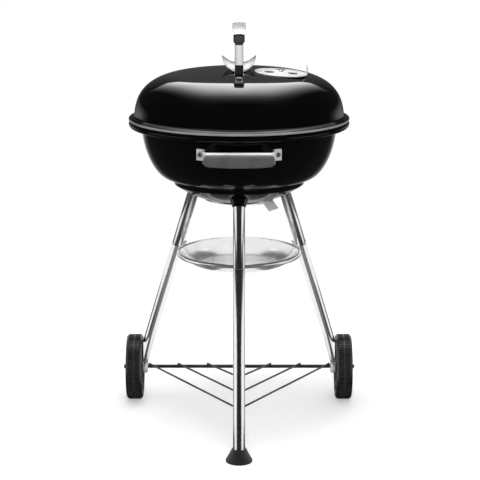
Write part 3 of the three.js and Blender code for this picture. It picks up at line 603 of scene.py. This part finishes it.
def lid_grip():
    rings = []
    for k in range(41):
        y = -GRIP_END + 2 * GRIP_END * k / 40
        end = max(0.0, 1 - (GRIP_END - abs(y)) / 4.8)
        inset = 2.6 * (1 - math.sqrt(1 - end**2))
        top, low = grip_top(y) - inset, grip_top(y) - GRIP_DEPTH + inset
        half = GRIP_HALF - inset
        section = rounded([(half, low), (half, top), (-half, top), (-half, low)], 4.2, 5, closed=True)
        rings.append([(x, y, z) for x, z in section])
    neck = prism_across(rounded([(-7, -5), (7, -3), (7, 4), (-7, 4)], 1.5, 3, closed=True), 15.4)
    necks = [moved(neck, shift(0, side * 86, grip_top(88) - GRIP_DEPTH)) for side in (-1, 1)]
    grip = together(rings_to_shape(rings), *necks)
    piece("lid_grip", grip, DARK_NYLON, "lid", "lid_handle_grip", sharp=50)


def lid_cap():
    """The bright cap along the top of the grip."""
    rings = []
    for k in range(49):
        y = -CAP_END + 2 * CAP_END * k / 48
        half = CAP_EDGE + CAP_SWELL * math.sqrt(max(0, 1 - (y / (CAP_END + 2)) ** 2))
        across = [-1 + 2 * i / 14 for i in range(15)]
        under = [(v * half, y, grip_top(y) + GAP + 1.6 * (1 - v * v)) for v in across]
        over = [(x * 0.99, y, z + CAP_SHEET) for x, y, z in under]
        rings.append(under + over[::-1])
    cap = rings_to_shape(rings)
    piece("lid_cap", cap, CAP_METAL, "lid", "lid_handle_cap", bevel=0.5, sharp=50)


def smoothstep(x, low, high):
    t = min(max((x - low) / (high - low), 0), 1)
    return t * t * (3 - 2 * t)


def shield_half_width(y):
    far = abs(y)
    for (y0, w0), (y1, w1) in zip(SHIELD_OUTLINE, SHIELD_OUTLINE[1:]):
        if far <= y1:
            return w0 + (w1 - w0) * (far - y0) / (y1 - y0)
    return SHIELD_OUTLINE[-1][1]


def heat_shield():
    """A thin dished sheet under the handle: wings that curl up at their tips, and tongues to both feet."""
    widest = SHIELD_OUTLINE[0][1]

    def at(y, v):
        far = abs(y)
        half = shield_half_width(y)
        crown = SHIELD_CROWN * (1 - smoothstep(far, 0, 56))
        curl = SHIELD_CURL * (v * half / widest) ** 2 * (1 - smoothstep(far, 56, 124))
        return v * half, y, lid_height(far) + SHIELD_LIFT + crown + curl

    turning_points = {side * y for y, _ in SHIELD_OUTLINE for side in (-1, 1)}
    rings = []
    for y in sorted(turning_points.union(range(-156, 157, 4))):
        under = [at(y, -1 + 2 * i / 20) for i in range(21)]
        over = [(x, y, z + SHIELD_SHEET) for x, y, z in under]
        rings.append(under + over[::-1])
    sheet = rings_to_shape(rings)
    piece("heat_shield", sheet, SHIELD_METAL, "lid", "lid_heat_shield", sharp=50)


def handle_bolts():
    head = GAP * 3 + SHIELD_SHEET + STRAP_SHEET + 1.2
    profile = [(0, head + 3.5), (2.6, head + 3.3), (4.6, head + 2.4), (5.7, head + 1.2), (6, head),
               (3, head - 0.4), (3, -11), (0, -11)]
    recess = [box(long, wide, head + 2.2, head + 6) for long, wide in ((3, 0.6), (0.6, 3))]
    for place, azimuth in (("front", -90), ("rear", 90)):
        seat = lid_seat(HANDLE_BOLT, azimuth)
        screw = moved(lathe(profile, 40), seat)
        piece(f"lid_screw_{place}", screw, RAW_STEEL, "lid", f"lid_handle_screw_{place}",
              [moved(cut, seat) for cut in recess])


def lid_damper():
    lift, sheet, crown = 0.9, 1.4, 2

    def under(r):
        return lift + crown * (1 - (r / DAMPER_RADIUS) ** 2)

    radii = [2.9, 6, 12, 20, 30, 38, 46, 52, 55, 56.4, DAMPER_RADIUS]
    low = [(r, under(r) - 2) for r in radii]
    top = [(r, under(r) - 2 + sheet) for r in radii[::-1]]
    disc = moved(lathe([*low, *top], closed=True), DAMPER_SEAT)
    piece("damper_disc", disc, ALUMINIUM, "lid_damper", "lid_damper", damper_holes(11),
          bevel=0.15)
    fin = prism_across(rounded([(-10, -0.8), (-10, 18.2), (10, 18.2), (10, -0.8)], 4, 6), sheet)
    fin = moved(fin, DAMPER_SEAT @ spin(-DAMPER_AZIMUTH) @ shift(DAMPER_RADIUS - 1.2, 0, lift - 0.2))
    extra_piece("damper_fin", fin, ALUMINIUM, "lid_damper")

    head = lift + 2
    profile = [(0, head + 2.6), (2, head + 2.4), (3.6, head + 1.8), (4.6, head + 0.9), (5, head - 0.2),
               (2.5, head - 0.3), (2.5, -6), (4.6, -6), (4.2, -8), (0, -8)]
    rivet = moved(lathe(profile, 40), DAMPER_SEAT)
    piece("damper_rivet", rivet, STEEL, "lid", "lid_damper_rivet")


# ------------------------ bowl


def bowl_bottom_height(r):
    return BOWL_BOTTOM + BOWL_DISH - math.sqrt(BOWL_DISH**2 - r**2)


def bowl_outside():
    bottom = [(r, bowl_bottom_height(r)) for r in [STEP_RADIUS * i / 20 for i in range(21)]]
    side = superellipse(BOWL_WALL - LEDGE_RADIUS, BOWL_TOP - LEDGE_HEIGHT, BOWL_POWER, 90, 0, 34)
    side = [(LEDGE_RADIUS + r, BOWL_TOP - z) for r, z in side]
    corners = [bottom[-2], bottom[-1], (STEP_RADIUS + 3, LEDGE_HEIGHT - 4.4), side[0], side[2]]
    return bottom[:-1] + rounded(corners, 3, 5)[1:-1] + side[2:]


def bowl_space(clearance):
    outside = offset_line(bowl_outside(), -clearance)
    outside[0] = (0, BOWL_BOTTOM - clearance)
    return lathe([*outside, (0, BOWL_TOP)])


def vent_slots(inner, outer):
    shapes = []
    for middle in THIRDS:
        half = VENT_SWEEP / 2
        outline = arc(0, 0, outer, middle - half, middle + half, 12)
        outline += arc(0, 0, inner, middle + half, middle - half, 8)
        shapes.append(prism(outline, BOWL_BOTTOM - 20, BOWL_BOTTOM + 40))
    return shapes


def bowl():
    outside = bowl_outside()
    inside = offset_line(outside, SHEET)[::-1]
    inside[-1] = (0, BOWL_BOTTOM + SHEET)
    inside[0] = (BOWL_WALL - SHEET, BOWL_TOP)
    bead_x, bead_z = RIM_RADIUS - BOWL_BEAD, RIM_PLANE - BOWL_BEAD
    under = rounded([outside[-1], (BOWL_WALL + 1.5, bead_z - 5), (BOWL_WALL + 5, bead_z - 4),
                     (bead_x - 5, bead_z - 4.4)], 2, 4)[1:-1]
    bead = arc(bead_x, bead_z, BOWL_BEAD, -140, 180, 24)
    over = [(BOWL_WALL + 5, bead_z - 4 + SHEET), (BOWL_WALL + 0.4, bead_z - 4.6 + SHEET)]
    profile = [(0, BOWL_BOTTOM), *outside[1:], *under, *bead, *over, *inside]
    slots = vent_slots(VENT_INNER, VENT_OUTER)
    piece("bowl", lathe(profile, 160), ENAMEL, "frame", "bowl_shell", slots)


def bowl_strap_line():
    wall = HANDLE_WALL + GAP + HANDLE_SHEET / 2 + 1.2

    def on_wall(x):
        return x, -math.sqrt(wall**2 - x**2)

    foot = [on_wall(HANDLE_FOOT + 8), on_wall(HANDLE_FOOT)]
    bend = [on_wall(HANDLE_FOOT - 9), (73, 9 - HANDLE_REACH), (66, -HANDLE_REACH), (0, -HANDLE_REACH)]
    half = rounded([*foot, *bend], 5, 6)
    return half[:-1] + [(-x, y) for x, y in half[::-1]]


def bowl_strap():
    from_above = band(bowl_strap_line(), HANDLE_SHEET)
    # Heights on the strap, and how far its front rolls back towards the bowl there.
    rolled = [(-12, 0), (5, 0), (8, 0.6), (10, 2), (11.3, 4), (12, 6.5)]
    strap = rings_to_shape([[(x, y + roll * smoothstep(-y, 222, 246), HANDLE_Z + z) for x, y in from_above]
                            for z, roll in rolled])
    piece("bowl_strap", strap, SATIN_STRAP, "frame", "bowl_handle_strap", bevel=0.8)


def bowl_grip():
    def section(y, inset):
        long, high, bend = 73 - inset, 12.6 - inset, 9 - inset
        points = arc(long - bend, high - bend, bend, 0, 90, 10)
        points += arc(bend - long, high - bend, bend, 90, 180, 10)
        points += arc(bend - long, 2 - high + bend, bend, 180, 262, 10)
        points += [(x, -high - 0.8 + 2.6 * (x / long) ** 2) for x in (-45, -30, -15, 0, 15, 30, 45)]
        points += arc(long - bend, 2 - high + bend, bend, 278, 360, 10)
        return [(x, y, z + HANDLE_Z - 4.4) for x, z in points]

    front, back = -HANDLE_REACH - 13, -HANDLE_REACH + 5
    steps = [(front, 3.4), (front + 0.25, 2.4), (front + 0.8, 1.5), (front + 1.8, 0.75), (front + 3, 0.25),
             (front + 4.5, 0), (back - 1.5, 0), (back - 0.4, 0.4), (back, 1.4)]
    grip = rings_to_shape([section(y, inset) for y, inset in steps])
    piece("bowl_grip", grip, NYLON, "frame", "bowl_handle_grip", sharp=60)


def bowl_screws():
    wall, seat = HANDLE_WALL + 0.5, HANDLE_SHEET + 1.6 + GAP
    profile = [(0, seat + 3), (2.5, seat + 2.8), (4, seat + 2), (4.8, seat + 0.9), (5, seat),
               (2.5, seat - 0.3), (2.5, -9), (0, -9)]
    for place, side in SIDES.items():
        x = side * HANDLE_FOOT
        azimuth = math.atan2(-math.sqrt(wall**2 - x**2), x)
        pose = shift(wall * math.cos(azimuth), wall * math.sin(azimuth), HANDLE_Z)
        pose = pose @ Matrix.Rotation(azimuth, 4, "Z") @ spin(90, "Y")
        screw = moved(lathe(profile, 32), pose)
        piece(f"bowl_screw_{place}", screw, STEEL, "frame", f"bowl_handle_screw_{place}",
              [moved(box(4, 0.6, seat + 1.9, seat + 6), pose)])


def grate(name, node, material, height, radius, ring_wire, rod_wire, pitch, brace_x):
    """A ring, parallel rods, and a brace on each side under them. A grate's node and body share a name."""
    shapes = [lathe(arc(radius, -rod_wire / 2, ring_wire, 0, 345, 23)[:-1], 128, closed=True)]
    count = int((radius - pitch * 0.4) / pitch)
    for i in range(-count, count + 1):
        reach = math.sqrt(radius**2 - (i * pitch) ** 2)
        shapes.append(moved(along_x(rod(rod_wire, -reach, reach, 12)), shift(0, i * pitch, 0)))
    for x in (-brace_x, brace_x):
        reach = math.sqrt(radius**2 - x**2)
        brace = moved(along_x(rod(rod_wire, -reach, reach, 12)), spin(90))
        shapes.append(moved(brace, shift(x, 0, -2 * rod_wire - 0.2)))
    piece(name, moved(together(*shapes), shift(0, 0, height)), material, node, node)


def grates():
    grate("cooking_wires", "cooking_grate", PLATED_WIRE, height=646.4, radius=200,
          ring_wire=2.8, rod_wire=2, pitch=21, brace_x=95)
    grate("charcoal_wires", "charcoal_grate", RAW_STEEL, height=568, radius=160,
          ring_wire=3.2, rod_wire=2.6, pitch=30, brace_x=70)


def ash_vent():
    def under(r):
        return bowl_bottom_height(r) - 1

    radii = [3.4] + [VENT_RADIUS * i / 12 for i in range(1, 13)]
    top = [(r, under(r)) for r in radii]
    low = [(r, z - 1.4) for r, z in top[::-1]]
    blade = lathe([*top, *low], closed=True)
    slots = vent_slots(VENT_INNER + 1, VENT_OUTER + 1)
    piece("vent_blade", blade, ALUMINIUM, "vent_plate", "vent_plate", slots)

    line = [(60, under(60) - 1.6), (76, under(76) - 1.9), (90, 490)]
    lever = moved(prism_across(band(rounded(line, 3, 5), 1.8), LEVER_WIDTH), spin(LEVER_AZIMUTH - 90))
    extra_piece("vent_lever", lever, TAB_METAL, "vent_plate")


# ------------------------ legs


def leg_axis(place, z):
    """Pose on a leg's axis at a height, Z up along the leg."""
    lean = shift(leg_radius_at(z), 0, z) @ Matrix.Rotation(-math.atan(LEG_SLOPE), 4, "Y")
    return spin(LEGS[place]) @ lean


def along_leg(height):
    return height * math.sqrt(1 + LEG_SLOPE**2)


def leg_cutter(side):
    """Everything beyond a rear leg's trimming plane."""
    low, high = (LEG_CUT, LEG_CUT + 120) if side > 0 else (-LEG_CUT - 120, -LEG_CUT)
    return prism([(low, 60), (high, 60), (high, 220), (low, 220)], -20, 300)


def axle_bore():
    return moved(along_x(rod(AXLE_BORE, -300, 300)), shift(0, AXLE_Y, AXLE_Z))


def leg_end(side):
    """The pressed end of a rear leg: a flattened tongue beside the wheel, rounded off below the axle."""
    face, deep, wide, low = LEG_CUT - 0.3, 9.5, 11, AXLE_Z - 17
    rings = []
    for k in range(24):
        z = low + 0.05 + 33 * (k / 23) ** 1.6
        share = math.sqrt(1 - max(0, 1 - (z - low) / wide) ** 2)
        turns = [math.pi * i / 16 for i in range(17)]
        y = AXLE_Y - (z - AXLE_Z) * LEG_SLOPE * math.sin(math.radians(LEGS["right"]))
        rings.append([(side * (face - deep * share**0.6 * math.sin(a)), y + wide * share * math.cos(a), z)
                      for a in turns])
    return rings_to_shape(rings)


def leg_socket(place):
    """The flared collar on the bowl that the upper tube goes into."""
    length = along_leg(45)
    cone = [(0, -0.6), (14, -0.6), (14.8, 0), (15.1, 1.5), (15.8, 4), (18, 9.5), (20.4, 16), (22.4, 24),
            (23.8, 34), (24.6, length), (0, length)]
    flare = moved(lathe(cone, 64), leg_axis(place, SOCKET_END))
    piece(f"socket_{place}", flare, ENAMEL, "frame", f"leg_socket_{place}", [bowl_space(GAP)])


def upper_leg(place):
    length = along_leg(SOCKET_END + 5 - SEAM)
    wall = [(11.5, 0), (12.1, 0.3), (TUBE_RADIUS, 1.4), (TUBE_RADIUS, length), (TUBE_BORE, length),
            (TUBE_BORE, 0)]
    tube = moved(lathe(wall, 64, closed=True), leg_axis(place, SEAM))
    piece(f"tube_upper_{place}", tube, CHROME, "frame", f"upper_leg_{place}")


def lower_leg(place, lowest, cuts):
    """The lower tube, with the narrow sleeve that goes up into the upper one."""
    length = along_leg(SEAM - GAP - lowest)
    narrow = TUBE_RADIUS - TUBE_WALL - GAP
    wall = [(TUBE_RADIUS, -length), (TUBE_RADIUS, -1.4), (12.1, -0.3), (11.5, 0), (narrow, 0.2),
            (narrow, SLEEVE), (narrow - TUBE_WALL, SLEEVE), (narrow - TUBE_WALL, -6), (TUBE_BORE, -10),
            (TUBE_BORE, -length)]
    tube = moved(lathe(wall, 64, closed=True), leg_axis(place, SEAM - GAP))
    piece(f"tube_lower_{place}", tube, CHROME, "frame", f"lower_leg_{place}", cuts)


def leg_plug(place, side):
    core = moved(rod(TUBE_BORE - GAP, -along_leg(24), along_leg(60), 48), leg_axis(place, AXLE_Z))
    cuts = [moved(leg_cutter(side), shift(-side * 0.8, 0, 0)), axle_bore()]
    piece(f"plug_{place}", core, PLASTIC, "frame", f"leg_plug_{place}", cuts)


def legs():
    for place in LEGS:
        leg_socket(place)
        upper_leg(place)
        if place == "front":
            lower_leg(place, 12, [])
            continue
        side = SIDES[place]
        lower_leg(place, 20, [leg_cutter(side), axle_bore()])
        leg_plug(place, side)
        extra_piece(f"leg_end_{place}", leg_end(side), SATIN_STRAP, "frame")


def foot():
    top = 28

    def circle(z, radius):
        lean = min(max(z / top, 0), 1)
        centre = LEG_SPREAD * (1 - lean) + leg_radius_at(top) * lean
        turns = [2 * math.pi * k / 64 for k in range(64)]
        return [(radius * math.sin(a), -centre + radius * math.cos(a), z) for a in turns]

    heights = [(0, 25.6), (0.3, 26.6), (1.2, 27.8), (2.2, 28.2), (4.2, 28.1), (5, 27.6), (5.8, 26.6),
               (10, 24), (15, 21), (20, 18.2), (24, 16), (25.3, 15.2), (26, 14.2)]
    cup = rings_to_shape([circle(z, radius) for z, radius in heights])
    piece("foot", cup, PLASTIC, "frame", "front_foot", sharp=50)


# ------------------------ dish, wheels, rack


def dish():
    lip = arc(133.5, 383, 5, -140, 140, 22)
    inner = [(129.4, 386), (127.6, 383.6), (125.2, 380.6), (121, 376.2), (115, 371.2), (107, 366.4),
             (97, 362.4), (85, 359.6), (70, 357.9), (50, 357.2), (25, 357), (0, 357)]
    outer = [(0 if r == 0 else r + 0.9, z - 1.4) for r, z in inner[1:]][::-1]
    pan = lathe([*outer, *lip, *inner], 160)
    piece("dish", pan, DISH_METAL, "ash_dish", "ash_dish", sharp=50)


def wheel(place, side):
    """A moulded wheel: hub, thin web with six windows, and a tread of cross bars with a ridge round it."""
    half = WHEEL_WIDTH / 2
    profile = [(AXLE_BORE, -half), (13.6, -half), (15, -half + 0.8), (17, -8), (19, -3.4), (21, -3),
               (57.5, -3), (59.5, -3.8), (64, -half + 1), (65.6, -half), (71, -half), (72.6, -half + 0.7),
               (74.8, -half + 3), (TREAD_RADIUS, -half + 5)]
    profile += [(TREAD_RADIUS, z) for z in (-half + 5.1, -9, -5, -1.9)]
    profile += [(WHEEL_RADIUS, -0.8), (WHEEL_RADIUS, 0)]
    profile += [(r, -z) for r, z in profile[-2::-1]]
    bar_rise, groove, steps = 0.4, 1.4, TREAD_BARS * 4
    rings = []
    for s in range(steps):
        a = 2 * math.pi * s / steps
        relief = -groove if s % 4 in (2, 3) else bar_rise
        ring = []
        for r, z in profile:
            reach = r + relief if r == TREAD_RADIUS and abs(z) < half - 5 else r
            ring.append((reach * math.cos(a), reach * math.sin(a), z))
        rings.append(ring)
    pose = shift(side * WHEEL_CENTRE, AXLE_Y, AXLE_Z) @ spin(90, "Y")
    outline = rounded(arc(0, 0, 53, -21, 21, 10) + arc(0, 0, 26, 17, -17, 6), 3, 4, closed=True)
    windows = [moved(prism(outline, -6, 6), pose @ spin(60 * i + 30)) for i in range(6)]
    moulding = moved(rings_to_shape(rings, closed_loop=True), pose)
    piece(f"wheel_{place}_moulded", moulding, TREAD, f"wheel_{place}", f"wheel_{place}",
          windows, sharp=35)


def rolling_gear():
    outer_face, inner_face = WHEEL_CENTRE + WHEEL_WIDTH / 2, WHEEL_CENTRE - WHEEL_WIDTH / 2
    axle_end = outer_face + 5
    bar = moved(along_x(rod(AXLE_RADIUS, -axle_end, axle_end, 40)), shift(0, AXLE_Y, AXLE_Z))
    piece("axle_bar", bar, BLACK_WIRE, "frame", "axle")
    cap = [(0, 8), (2, 7.8), (3.6, 7.1), (4.7, 5.9), (5.3, 4.2), (6.4, 3.1), (9.4, 2.5), (11.4, 1.6),
           (12, 0.4), (11.8, 0), (AXLE_BORE, 0), (AXLE_BORE, 5.4), (0, 5.4)]
    low, high = LEG_CUT + GAP, inner_face - GAP
    ring = [(AXLE_BORE, low), (8.7, low), (9, low + 0.3), (9, high - 0.3), (8.7, high), (AXLE_BORE, high)]
    for place, side in SIDES.items():
        wheel(place, side)
        turn = spin(side * 90, "Y")
        hub = moved(lathe(cap, 48), shift(side * (outer_face + 0.5), AXLE_Y, AXLE_Z) @ turn)
        piece(f"hub_{place}", hub, PLASTIC, "frame", f"hub_cap_{place}")
        washer = moved(lathe(ring, 48, closed=True), shift(0, AXLE_Y, AXLE_Z) @ turn)
        piece(f"washer_{place}", washer, STEEL, "frame", f"axle_washer_{place}")


def rack():
    hook = AXLE_RADIUS + GAP + 2.2
    level = AXLE_Z + hook
    hook_end = arc(AXLE_Y, AXLE_Z, hook, -30, 90, 12)
    shapes = []
    for tip, spread in zip((-192, -82, 32), (211, 143, 74)):
        half = [(spread, y, z) for y, z in hook_end] + [(7, tip + 7, level)]
        shapes.append(wire(half + [(-x, y, z) for x, y, z in half[::-1]], 2.2, bend=5))
    spine = [(0, y, z) for y, z in hook_end] + [(0, 4 - leg_radius_at(level), level)]
    shapes.append(wire(spine, 2.4))
    piece("rack_wires", together(*shapes), BLACK_WIRE, "frame", "bottom_rack")


# ------------------------ the whole grill

lid_dome()
lid_strap()
lid_grip()
lid_cap()
heat_shield()
handle_bolts()
lid_damper()
bowl()
bowl_strap()
bowl_grip()
bowl_screws()
grates()
ash_vent()
legs()
foot()
dish()
rolling_gear()
rack()

# The CAD nodes that stay get a better material and a softened edge.
SLOT_MATERIALS = {"bright_steel": STEEL}
for entry in frame["record"]["subparts"]:
    node = frame["nodes"][entry["node"]]
    if node.hide_render:
        continue
    node.data.materials.clear()
    node.data.materials.append(SLOT_MATERIALS[entry["material_slot"]])
    edge = node.modifiers.new("edge", "BEVEL")
    edge.width = 0.0003
    edge.segments = 2

# ------------------------ floor, light and camera; metres and degrees

FLOOR_GREY, FLOOR_GLOW, FLOOR_HALF = 0.8, 0.345, 30
FILL, TENT_FILL, BOX_LIGHT = 0.55, 0.025, 6.7
TENT_RADIUS, TENT_CENTRE, TENT_LOWEST = 0.8, 0.7, -7
FLAG_RADIUS, FLAG_LOW, FLAG_HIGH, FLAG_STEPS = 2.2, -0.1, 2.6, 24
LENS, SENSOR, CAMERA_PLACE, CAMERA_TILT = 121.02, 36, (0.0020, KETTLE_Y - 3.5, 1.2127), 12.9
WHITE = (1, 1, 1, 1)


class StageNodes(Nodes):
    """The nodes of the floor, a card or the world, which each kind of ray can see in its own way."""

    def __init__(self, owner, output="ShaderNodeOutputMaterial"):
        super().__init__(owner)
        self.tree.nodes.clear()
        self.output = self.add(output)

    @functools.cached_property
    def rays(self):
        return self.add("ShaderNodeLightPath").outputs

    def show(self, shader):
        self.feed(self.output, Surface=shader)

    def mix(self, factor, first, second):
        node = self.add("ShaderNodeMixShader", Fac=factor)
        self.plug(first, node.inputs[1])
        self.plug(second, node.inputs[2])
        return node.outputs[0]

    def glow(self, strength, kind="ShaderNodeEmission"):
        return self.add(kind, Color=WHITE, Strength=strength).outputs[0]

    def matt(self, grey):
        return self.add("ShaderNodeBsdfDiffuse", Color=(grey, grey, grey, 1)).outputs[0]


def stage_object(name, points, faces, nodes):
    mesh = bpy.data.meshes.new(name)
    mesh.from_pydata(points, [], faces)
    mesh.materials.append(nodes.owner)
    obj = new_object(name, mesh)
    return obj


def stage_nodes(name):
    return StageNodes(bpy.data.materials.new(name))


def floor():
    """White to the camera apart from the shadow; to metal, white behind the object and dark before it."""
    n = stage_nodes("floor_sweep")
    x, y, _ = n.axes
    near = n.add("ShaderNodeAddShader")
    n.plug(n.matt(FLOOR_GREY), near.inputs[0])
    n.plug(n.glow(FLOOR_GLOW), near.inputs[1])
    seen = n.mix(n.greys(n.length(x, y), 0, 2, (0.7, 0), (1.4, 1)), near.outputs[0], n.glow(1))
    fade = n.greys(y, -1, 5, (0.3, 0), (0.55, 0.4), (1, 0.6), (2, 0.6), (3, 0.85), (5, 1))
    sideways = n.maths("ABSOLUTE", n.maths("DIVIDE", x, y))
    sector = n.greys(sideways, 0, 2, (0, 1), (0.25, 1), (0.6, 0.35), (1, 0))
    mirrored = n.glow(n.maths("MAXIMUM", n.times(fade, sector), 0.045))
    others = n.mix(n.rays["Is Glossy Ray"], n.matt(0.7), mirrored)
    n.show(n.mix(n.rays["Is Camera Ray"], others, seen))
    far = FLOOR_HALF
    stage_object("floor", [(-far, -far, 0), (far, -far, 0), (far, far, 0), (-far, far, 0)], [range(4)], n)


def world():
    """White to the camera, to metal and to glass; a plain half-strength fill for everything else."""
    studio = bpy.data.worlds.new("studio")
    bpy.context.scene.world = studio
    n = StageNodes(studio, "ShaderNodeOutputWorld")
    either = n.maths("MAXIMUM", n.rays["Is Camera Ray"], n.rays["Is Glossy Ray"])
    any_of = n.maths("MAXIMUM", either, n.rays["Is Transmission Ray"])
    background = "ShaderNodeBackground"
    n.show(n.mix(any_of, n.glow(FILL, background), n.glow(1, background)))


def only_in_reflections(obj):
    for rays in ("camera", "diffuse", "transmission", "shadow"):
        setattr(obj, f"visible_{rays}", False)


def box_light(n, side, depth):
    """The soft overhead light: fading forwards and to its sides, and cut off along its rear edge."""
    across = n.greys(side, 0, 1, (0, 1), (0.28, 0.78), (0.36, 0.6), (0.43, 0.43), (0.49, 0.26), (0.52, 0.19),
                     (0.55, 0.14), (0.585, 0.09), (0.62, 0.05), (0.65, 0.025), (0.7, 0))
    along = n.greys(depth, -1, 1, (-0.6, 0), (-0.5, 0.02), (-0.39, 0.05), (-0.17, 0.2), (0, 0.55),
                    (0.2, 0.85), (0.34, 1))
    rear_edge = n.greys(side, 0, 1, (0, 0.65), (0.12, 0.655), (0.2, 0.665), (0.28, 0.685), (0.36, 0.74),
                        (0.44, 0.735), (0.52, 0.69), (0.6, 0.65))
    before_edge = n.greys(n.maths("SUBTRACT", rear_edge, depth), -1, 1, (-0.006, 0), (0.006, 1))
    return n.times(n.times(n.times(across, along), before_edge), BOX_LIGHT)


def dark_panel(n, side, depth):
    """The dim panel behind the overhead light, dimmer downwards and to its sides."""
    down = n.greys(depth, -1, 1, (0.62, 0), (0.64, 0.28), (0.7, 0.25), (0.78, 0.17), (0.86, 0.13),
                   (0.94, 0.085), (1, 0.06))
    return n.times(down, n.greys(side, 0, 1, (0.28, 1), (0.38, 0.55), (0.5, 0.25), (0.62, 0)))


def low_strips(n, side, depth, height):
    """Strips of light low on the dome, at both sides: wide ones behind and narrow ones in front."""
    behind = n.greys(depth, -1, 1, (0.2, 0), (0.5, 1))
    rear_sides = n.greys(side, 0, 1, (0.5, 0), (0.68, 0.45), (0.87, 1))
    low = n.greys(height, -0.2, 0.2, (-0.1, 0.8), (0, 0.35), (0.07, 0.1), (0.1, 0))
    before = n.greys(depth, -1, 1, (-0.05, 1), (0.05, 0))
    front_sides = n.greys(side, 0, 1, (0.66, 0), (0.72, 1))
    lowest = n.greys(height, -0.2, 0.2, (0, 1), (0.03, 0))
    return n.plus(n.times(n.times(behind, rear_sides), low), n.times(n.times(before, front_sides), lowest))


def light_tent():
    """A dome that only reflections see: a large overhead light, a dim panel behind it and low strips."""
    n = stage_nodes("light_tent")
    side, depth, height = [n.maths("DIVIDE", part, TENT_RADIUS) for part in n.axes]
    side = n.maths("ABSOLUTE", side)
    lesser = n.plus(low_strips(n, side, depth, height), dark_panel(n, side, depth))
    n.show(n.glow(n.plus(n.plus(box_light(n, side, depth), lesser), TENT_FILL)))
    dome = stage_object("light_tent", *lathe(arc(0, 0, TENT_RADIUS, 90, TENT_LOWEST, 32)), n)
    dome.location = (0, KETTLE_Y, TENT_CENTRE)
    only_in_reflections(dome)


def from_the_side(n):
    """The gap in an egg-crate grid: 0 for what faces the card squarely, 1 for what sees it on a slant."""
    slant = n.add("ShaderNodeLayerWeight", Blend=0.5).outputs["Facing"]
    return n.greys(slant, 0, 1, (0.1, 0), (0.18, 1))


def from_the_back(n):
    return n.add("ShaderNodeNewGeometry").outputs["Backfacing"]


def reflector(name, quads, hidden=None, strength=1.0):
    """White cards that only reflections see, and of those only the ones that they aren't hidden from."""
    n = stage_nodes(name)
    shown = n.glow(strength)
    if hidden:
        shown = n.mix(hidden(n), shown, n.add("ShaderNodeBsdfTransparent").outputs[0])
    n.show(shown)
    points = [point for quad in quads for point in quad]
    cards = stage_object(name, points, [range(4 * k, 4 * k + 4) for k in range(len(quads))], n)
    cards.location = (0, KETTLE_Y, 0)
    only_in_reflections(cards)


def card(edge_along, corner, opposite):
    """A rectangle between opposite corners, with one pair of its edges along X or Y."""
    x0, y0, z0 = corner
    x1, y1, z1 = opposite
    if edge_along == "X":
        return [(x0, y0, z0), (x1, y0, z0), (x1, y1, z1), (x0, y1, z1)]
    return [(x0, y0, z0), (x0, y1, z0), (x1, y1, z1), (x1, y0, z1)]


def reflectors():
    """Cards between and beside the rear legs, by the lid handle, behind the front leg and over the dish."""
    ridge, beside, between, by_wheel = [], [], [], []
    near, far = AXLE_Y / 1000 - 0.068, AXLE_Y / 1000 + 0.068
    for side in (-1, 1):
        low, high = (0.012, 0.14)[::-side]
        ridge.append(card("Y", (side * 0.12, -0.12, 0.004), (side * 0.01, 0.5, 0.33)))
        beside.append(card("Y", (side * 0.46, -0.2, 0.01), (side * 0.46, 0.5, 0.38)))
        between.append(card("X", (side * 0.06, -0.06, 0.03), (side * 0.34, -0.06, 0.47)))
        by_wheel.append(card("Y", (side * 0.2248, near, low), (side * 0.2248, far, high)))
    before_handle = card("X", (-0.02, -0.147, 0.856), (0.02, -0.114, 0.902))
    over_dish = card("Y", (-0.035, -0.12, 0.452), (0.035, 0.22, 0.452))
    reflector("ridge_cards", ridge)
    reflector("side_cards", beside, from_the_side)
    reflector("handle_card", [before_handle], from_the_side, 1.4)
    reflector("inner_cards", between, from_the_side, 0.22)
    reflector("dish_card", [over_dish], from_the_back)
    reflector("wheel_cards", by_wheel, from_the_back)


def front_flag():
    """A dark upright card in front, beside which metal tube shows the white surroundings."""
    n = stage_nodes("front_flag")
    n.show(n.glow(0.02))
    line = arc(0, KETTLE_Y, FLAG_RADIUS, -134, -46, FLAG_STEPS)
    points = [(x, y, z) for x, y in line for z in (FLAG_LOW, FLAG_HIGH)]
    faces = [[i, i + 2, i + 3, i + 1] for i in range(0, 2 * FLAG_STEPS, 2)]
    only_in_reflections(stage_object("front_flag", points, faces, n))


def lamp(name, place, target, size, power):
    """A soft area lamp that lights the object but isn't mirrored in it."""
    data = bpy.data.lights.new(name, "AREA")
    data.shape = "DISK"
    data.size = size
    data.energy = power
    obj = new_object(name, data)
    obj.location = place
    obj.rotation_euler = (Vector(target) - Vector(place)).to_track_quat("-Z", "Y").to_euler()
    obj.visible_glossy = False


def camera():
    data = bpy.data.cameras.new("camera")
    data.lens = LENS
    data.sensor_width = SENSOR
    obj = new_object("camera", data)
    obj.location = CAMERA_PLACE
    obj.rotation_euler = (math.radians(90 - CAMERA_TILT), 0, 0)
    bpy.context.scene.camera = obj


floor()
world()
light_tent()
reflectors()
front_flag()
lamp("overhead", (-0.1, -0.15, 2.5), (0, 0, 0), 1.0, 30)
lamp("front", (0.3, -2.2, 1.3), (0, 0, 0.4), 1.2, 20)
lamp("back", (0.6, 2.0, 2.0), (0, 0, 0.4), 1.6, 10)
camera()
bpy.context.scene.view_settings.view_transform = "Standard"
